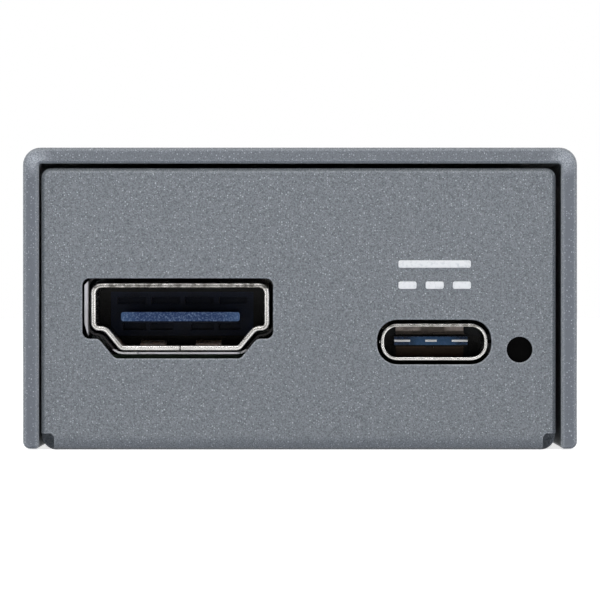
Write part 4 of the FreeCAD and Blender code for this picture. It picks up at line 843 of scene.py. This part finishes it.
def pick(test: Callable[[Vector], bool], whole: bool = True, axis: int | None = None) -> None:
    """Selects, in edit mode, what lies between the vertices that pass a test.

    Args:
        test: tells of a vertex's place in millimetres whether it counts.
        whole: False leaves out the faces, so that only edges are selected.
        axis: where given, only edges along this axis are selected.
    """
    mesh = bmesh.from_edit_mesh(bpy.context.object.data)
    for part in (*mesh.faces, *mesh.edges, *mesh.verts):
        part.select = False
    for edge in mesh.edges:
        ends = [v.co / MM for v in edge.verts]
        run = ends[1] - ends[0]
        straight = axis is None or abs(run[axis]) > ALONG * run.length
        if straight and all(test(end) for end in ends):
            edge.select_set(True)
    if whole and axis is None:
        mesh.select_flush(True)
    bmesh.update_edit_mesh(bpy.context.object.data)


def copies(model: Piece, name: str, moves: list[Vector]) -> Piece:
    """Copies a model to several places, each copy with its own mesh, and joins them.

    Args:
        model: the piece that is copied and then taken away.
        name: what the joined piece is called.
        moves: the move of each copy in metres.

    Returns:
        The joined piece.
    """
    made = []
    for move in moves:
        twin = model.copy()
        twin.data = model.data.copy()
        twin.data.transform(Matrix.Translation(move))
        bpy.context.scene.collection.objects.link(twin)
        made.append(twin)
    bpy.data.objects.remove(model)
    take(made[0])
    for twin in made:
        twin.select_set(True)
    bpy.ops.object.join()
    made[0].name = made[0].data.name = name
    return made[0]


def finish_piece(piece: Piece, finish: Finish) -> None:
    """Settles a new piece: place in the mesh, faces outwards, finish, slot and body.

    Args:
        piece: the new piece.
        finish: its finish.
    """
    take(piece)
    settle()
    bpy.ops.object.mode_set(mode="EDIT")
    bpy.ops.mesh.select_all(action="SELECT")
    bpy.ops.mesh.normals_make_consistent(inside=False)
    bpy.ops.object.mode_set(mode="OBJECT")
    bpy.ops.object.shade_smooth_by_angle(angle=SMOOTH_UNDER)
    piece.data.materials.clear()
    piece.data.materials.append(finish.material())
    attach(piece, BODY)
    LOG.info("built %s: %d faces, %s", piece.name, len(piece.data.polygons), finish.name)


@dataclass
class Case:
    """Folded steel case: cover, tray, posts and screws."""

    def build(self) -> None:
        """Dresses the case."""
        dress(COAT, "top_cover", "base_tray")
        dress(TURNED, "cover_posts")
        dress(BLACKENED, "cover_screws")


@dataclass
class PowerMark:
    """Generic direct-current sign, a bar over three dashes, printed above the power socket."""

    centre_x: float = 11.14
    centre_z: float = 14.5
    plate_y: float = -41.75
    ink: float = 0.02
    width: float = 6.0
    stroke: float = 0.62
    pitch: float = 1.75
    dash: float = 1.5
    tip: float = 0.16

    def build(self) -> None:
        """Prints the sign."""
        bar = self.stripe("power_mark", self.width, self.centre_z + self.pitch / 2)
        model = self.stripe("power_mark_dash", self.dash, self.centre_z - self.pitch / 2)
        step = (self.width - self.dash) / 2
        dashes = copies(model, "power_mark_dashes", [Vector((k * step * MM, 0, 0)) for k in (-1, 0, 1)])
        take(bar)
        dashes.select_set(True)
        bpy.ops.object.join()
        finish_piece(bar, INK)

    def stripe(self, name: str, length: float, z: float) -> Piece:
        """Makes one printed stripe with rounded corners.

        Args:
            name: what it is called.
            length: its length in millimetres.
            z: its height.

        Returns:
            The stripe.
        """
        half, up = length / 2, self.stroke / 2
        low = (self.centre_x - half, self.plate_y - self.ink, z - up)
        piece = start_box(name, low, (self.centre_x + half, self.plate_y, z + up))
        pick(lambda place: True, axis=1)
        round_edges(self.tip, segments=5)
        return piece


@dataclass
class SolderJoints:
    """Solder cones under the board round the legs of one connector."""

    name: str
    spots: tuple[Span, ...]
    reach_x: float
    reach_y: float
    board_low: float = 6.3
    rings: tuple[Span, ...] = ((0.80, 0.14), (0.68, 0.32), (0.62, 0.58))

    def build(self) -> None:
        """Models one cone and copies it to every leg."""
        bpy.ops.object.select_all(action="DESELECT")
        foot = (0, 0, self.board_low * MM)
        bpy.ops.mesh.primitive_circle_add(vertices=20, radius=MM, fill_type="NGON", location=foot)
        model = bpy.context.object
        model.scale = (self.reach_x, self.reach_y, 1)
        settle()
        bpy.ops.object.mode_set(mode="EDIT")
        bpy.ops.mesh.select_all(action="SELECT")
        wide, deep = 1.0, 0.0
        for size, depth in self.rings:
            pull(z=deep - depth)
            bpy.ops.transform.resize(value=(size / wide, size / wide, 1), center_override=foot)
            wide, deep = size, depth
        bpy.ops.object.mode_set(mode="OBJECT")
        joints = copies(model, self.name, [Vector((x * MM, y * MM, 0)) for x, y in self.spots])
        finish_piece(joints, SOLDER)


@dataclass
class HdmiSocket:
    """HDMI socket: folded shell with its outer skin, dark core and gilt contacts."""

    legs: tuple[Span, ...] = ((-17.68, -38.05), (-2.16, -38.05), (-2.16, -32.45), (-17.68, -32.45))
    skin_y: float = -40.6
    lip_start: float = 0.06
    lip_reach: float = 0.95
    side_x: Span = (-17.78, -17.48)
    side_z: Span = (9.50, 13.95)
    side_flare: float = -0.07
    side_steps: int = 3
    side_rounding: float = 0.04
    side_tip: float = 0.1
    top_slant: float = 0.35
    foot_slant: float = 1.0
    low_x: Span = (-13.5, -4.9)
    low_z: Span = (7.96, 8.08)
    low_rounding: float = 0.5

    def build(self) -> None:
        """Dresses the socket, solders its legs and bends its skin's lips."""
        dress(HDMI_NICKEL, "hdmi_shell")
        dress(SHEARED, "hdmi_shield")
        dress(HDMI_NYLON, "hdmi_insulator")
        dress(GOLD, "hdmi_upper_contacts", "hdmi_lower_contacts")
        SolderJoints("hdmi_solder", self.legs, reach_x=0.55, reach_y=1.15).build()
        self.side_lip()
        self.low_lip()

    def start_lip(self, name: str, across: Span, up: Span) -> Piece:
        """Starts a lip as a narrow strip on the skin's front edge, with its front face selected.

        Args:
            name: the lip's name.
            across: its two ends along X.
            up: its two ends along Z.

        Returns:
            The lip, in edit mode.
        """
        half = self.lip_start / 2
        low = (across[0], self.skin_y - half, up[0])
        lip = start_box(name, low, (across[1], self.skin_y + half, up[1]))
        pick(lambda place: place.y < self.skin_y)
        return lip

    def side_lip(self) -> None:
        """Bends the skin's left edge forwards and a little outwards, with its top and foot cut aslant."""
        lip = self.start_lip("hdmi_shield_side_lip", self.side_x, self.side_z)
        for _ in range(self.side_steps):
            pull(x=self.side_flare / self.side_steps, y=-self.lip_reach / self.side_steps)
        outer = sum(self.side_x) / 2 + self.side_flare
        foot, top = self.side_z
        pick(lambda place: place.z > top - self.side_tip and place.x < outer)
        bpy.ops.transform.translate(value=(0, 0, -self.top_slant * MM))
        pick(lambda place: place.z < foot + self.side_tip and place.x < outer)
        bpy.ops.transform.translate(value=(0, 0, self.foot_slant * MM))
        pick(lambda place: True, axis=2)
        round_edges(self.side_rounding, segments=2)
        finish_piece(lip, RUBBED_TIN)

    def low_lip(self) -> None:
        """Bends the skin's lower edge forwards, with both ends rounded."""
        lip = self.start_lip("hdmi_shield_low_lip", self.low_x, self.low_z)
        pull(y=-self.lip_reach)
        pick(lambda place: place.y < self.skin_y - self.lip_reach / 2, axis=2)
        round_edges(self.low_rounding, segments=5)
        finish_piece(lip, RUBBED_TIN)


@dataclass
class UsbSocket:
    """USB-C socket: seamless shell with a tongue that has contacts on both sides."""

    legs: tuple[Span, ...] = ((16.19, -35.2), (16.19, -38.0), (6.03, -35.2), (6.03, -38.0))

    def build(self) -> None:
        """Dresses the socket and solders its legs."""
        dress(USB_NICKEL, "usb_shell")
        dress(TINNED, "usb_mid_plate")
        dress(SHADED_TIN, "usb_ground_plates")
        dress(USB_NYLON, "usb_insulator")
        dress(GOLD, "usb_upper_contacts", "usb_lower_contacts")
        SolderJoints("usb_solder", self.legs, reach_x=0.5, reach_y=0.95).build()


@dataclass
class StatusLight:
    """Side-looking light behind its round hole, which a black disc of painted shade closes from the inside.
    """

    hole_x: float = 18.17
    hole_z: float = 8.29
    plate_back: float = -40.75
    radius: float = 1.6
    thickness: float = 0.3
    rounding: float = 0.08

    def build(self) -> None:
        """Dresses the light and cuts the disc of painted shade."""
        dress(LAMP_NYLON, "status_led")
        dress(LENS, "status_led_lens")
        bpy.ops.object.select_all(action="DESELECT")
        bpy.ops.mesh.primitive_circle_add(
            vertices=40, radius=self.radius * MM, fill_type="NGON", rotation=UPRIGHT,
            location=(self.hole_x * MM, self.plate_back * MM, self.hole_z * MM),
        )
        # Painted shade: a black disc fills the hole, where there is only shade.
        film = bpy.context.object
        film.name = film.data.name = "status_light_shade_disc"
        settle()
        bpy.ops.object.mode_set(mode="EDIT")
        bpy.ops.mesh.select_all(action="SELECT")
        pull(y=self.thickness)
        pick(lambda place: place.y > self.plate_back + self.thickness / 2, whole=False)
        round_edges(self.rounding, segments=3)
        finish_piece(film, SHADE_DISC)


@dataclass
class BncJack:
    """One BNC jack: nickel barrel and block, white core and gilt centre contact."""

    side: JackSide
    axis_x: float
    peg_reach: float = 5.08
    peg_rows: Span = (21.25, 27.25)
    tail_y: float = 22.25
    cone: float = 0.98

    def build(self) -> None:
        """Dresses the jack and solders its pegs and tail."""
        name = self.side.value
        dress(JACK_NICKEL, f"{name}_jack_barrel", f"{name}_jack_block")
        dress(JACK_PTFE, f"{name}_jack_insulator")
        dress(GOLD, f"{name}_jack_contact")
        pegs = [(self.axis_x + k * self.peg_reach, y) for k in (-1, 1) for y in self.peg_rows]
        spots = (*pegs, (self.axis_x, self.tail_y))
        SolderJoints(f"{name}_solder", spots, reach_x=self.cone, reach_y=self.cone).build()


@dataclass
class ChipPads:
    """Solder pads round the foot of a leadless chip, one for each contact."""

    chip: str
    pitch: float = 0.5
    across: float = 0.26
    out: float = 0.30
    high: float = 0.08
    corner: float = 0.6
    rounding: float = 0.024

    def build(self) -> None:
        """Models one pad and copies it along the chip's four sides."""
        low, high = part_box(self.chip)
        corner = (self.across / 2, self.out / 2)
        model = start_box(f"{self.chip}_pad", (-corner[0], -corner[1], 0), (*corner, self.high))
        pick(lambda place: place.z > self.high / 2)
        round_edges(self.rounding, segments=2)
        centre = (low + high) / 2
        half = (high - low) / 2
        places = []
        for along, over in ((0, 1), (1, 0)):
            count = int((2 * half[along] / MM - 2 * self.corner) / self.pitch) + 1
            for k in range(count):
                for end in (-1, 1):
                    spot = Vector((centre.x, centre.y, low.z))
                    spot[along] += (k - (count - 1) / 2) * self.pitch * MM
                    spot[over] += end * half[over]
                    places.append(spot)
        finish_piece(copies(model, f"{self.chip}_pads", places), SOLDER)


@dataclass
class CircuitBoard:
    """Main board on its standoffs, with its chips and small components."""

    leadless: tuple[str, ...] = ("sdi_receiver", "sdi_driver", "hdmi_driver", "power_regulator")

    def build(self) -> None:
        """Dresses the board and all that it carries, and adds the chips' pads."""
        dress(MASK, "main_board")
        dress(TURNED, "board_standoffs", "board_nuts")
        dress(LID, "video_processor")
        dress(SILICONE, "thermal_pad")
        dress(CHIP_RESIN, "flash_memory", "surge_protectors", *self.leadless)
        dress(CAN, "clock_crystal")
        dress(FERRITE, "power_inductors")
        dress(YELLOW_RESIN, "bulk_capacitors")
        dress(CERAMIC, "ceramic_capacitors")
        dress(RESISTOR, "chip_resistors")
        for chip in self.leadless:
            ChipPads(chip).build()


@dataclass(frozen=True)
class SoftBox:
    """A soft box: its place and size in metres and its power in watts."""

    name: str
    place: Spot
    power: float
    width: float = 0.45
    height: float = 0.30

    def hang(self, aim: Vector) -> None:
        """Hangs the box so that it faces a point."""
        light = bpy.data.lights.new(self.name, "AREA")
        light.shape = "RECTANGLE"
        light.size, light.size_y, light.energy = self.width, self.height, self.power
        lamp = bpy.data.objects.new(self.name, light)
        lamp.location = self.place
        lamp.rotation_euler = (aim - lamp.location).to_track_quat("-Z", "Y").to_euler()
        bpy.context.scene.collection.objects.link(lamp)


@dataclass
class Studio:
    """Pale floor, white surroundings, soft boxes and the camera. Its sizes are in metres."""

    camera_back: float = 0.49215
    camera_height: float = 0.0124
    lens: float = 326.7
    white: str = "#FFFFFF"
    ambient: float = 0.40
    floor_size: float = 6.0
    floor_bounce: str = "#C6CBD8"
    floor_seen: str = "#E6E6E6"
    floor_glow: float = 0.74
    flag_back: float = 0.9
    flag_size: float = 1.4
    flag_black: str = "#0A0A0A"
    boxes: tuple[SoftBox, ...] = (
        SoftBox("key_box", (-0.10, -0.45, 0.50), 2.4),
        SoftBox("left_box", (-0.55, -0.25, 0.18), 0.9, width=0.30, height=0.40),
        SoftBox("right_box", (0.55, -0.25, 0.18), 1.1, width=0.30, height=0.40),
        SoftBox("rear_box", (0.10, 0.55, 0.45), 1.6),
    )

    def build(self) -> None:
        """Sets up everything round the object."""
        self.world()
        self.floor()
        for box in self.boxes:
            box.hang(Vector((0, 0, self.camera_height)))
        self.flag()
        self.camera()
        bpy.context.scene.view_settings.view_transform = "Standard"

    def seen(self, tree: Tree) -> Node:
        """Gives 1 for rays that show the surroundings: from the camera, or by gloss or glass."""
        path = add_node(tree, "LightPath")
        gloss, glass = path.outputs["Is Glossy Ray"], path.outputs["Is Transmission Ray"]
        mirrored = add_node(tree, "Math", {0: gloss, 1: glass}, operation="MAXIMUM")
        straight = path.outputs["Is Camera Ray"]
        return add_node(tree, "Math", {0: straight, 1: mirrored}, operation="MAXIMUM")

    def world(self) -> None:
        """White surroundings that give a plain, even light."""
        world = bpy.data.worlds.new("white_studio")
        world.use_nodes = True
        bpy.context.scene.world = world
        tree = world.node_tree
        plain = tree.nodes["Background"]
        plain.inputs["Strength"].default_value = self.ambient
        plain.inputs["Color"].default_value = linear(self.white)
        white = add_node(tree, "Background", {"Color": linear(self.white), "Strength": 1.0})
        both = add_node(tree, "MixShader", {0: self.seen(tree), 1: plain, 2: white})
        tree.links.new(both.outputs[0], tree.nodes["World Output"].inputs["Surface"])

    def floor(self) -> None:
        """White floor that keeps the object's shadow."""
        bpy.ops.object.select_all(action="DESELECT")
        bpy.ops.mesh.primitive_plane_add(size=self.floor_size)
        floor = bpy.context.object
        floor.name = "studio_floor"
        made = bpy.data.materials.new("studio_floor_white")
        made.use_nodes = True
        tree = made.node_tree
        tree.nodes.remove(tree.nodes["Principled BSDF"])
        matt = add_node(tree, "BsdfDiffuse", {"Color": linear(self.floor_bounce)})
        shaded = add_node(tree, "BsdfDiffuse", {"Color": linear(self.floor_seen)})
        glow = add_node(tree, "Emission", {"Color": linear(self.white), "Strength": self.floor_glow})
        white = add_node(tree, "AddShader", {0: shaded, 1: glow})
        both = add_node(tree, "MixShader", {0: self.seen(tree), 1: matt, 2: white})
        tree.links.new(both.outputs[0], tree.nodes["Material Output"].inputs["Surface"])
        floor.data.materials.append(made)

    def flag(self) -> None:
        """Black cloth behind the camera, which keeps the front light out of the sockets."""
        bpy.ops.object.select_all(action="DESELECT")
        place = (0, -self.flag_back, self.camera_height)
        bpy.ops.mesh.primitive_plane_add(size=self.flag_size, location=place, rotation=UPRIGHT)
        flag = bpy.context.object
        flag.name = "studio_flag"
        cloth = bpy.data.materials.new("studio_flag_black")
        cloth.use_nodes = True
        shader = cloth.node_tree.nodes["Principled BSDF"]
        shader.inputs["Base Color"].default_value = linear(self.flag_black)
        shader.inputs["Roughness"].default_value = 1.0
        flag.data.materials.append(cloth)
        flag.visible_camera = False

    def camera(self) -> None:
        """Long lens straight in front of the HDMI end."""
        data = bpy.data.cameras.new("camera")
        data.lens = self.lens
        camera = bpy.data.objects.new("camera", data)
        camera.location = (0, -self.camera_back, self.camera_height)
        camera.rotation_euler = UPRIGHT
        bpy.context.scene.collection.objects.link(camera)
        bpy.context.scene.camera = camera


def main() -> None:
    """Builds and dresses the sub-assemblies in order."""
    logging.basicConfig(level=logging.INFO, format="%(name)s: %(message)s")
    Studio().build()
    for part in (
        Case(),
        PowerMark(),
        HdmiSocket(),
        UsbSocket(),
        StatusLight(),
        BncJack(JackSide.INPUT, axis_x=-10.0),
        BncJack(JackSide.OUTPUT, axis_x=10.0),
        CircuitBoard(),
    ):
        part.build()
        LOG.info("finished %s", type(part).__name__)


if __name__ == "__main__":
    main()
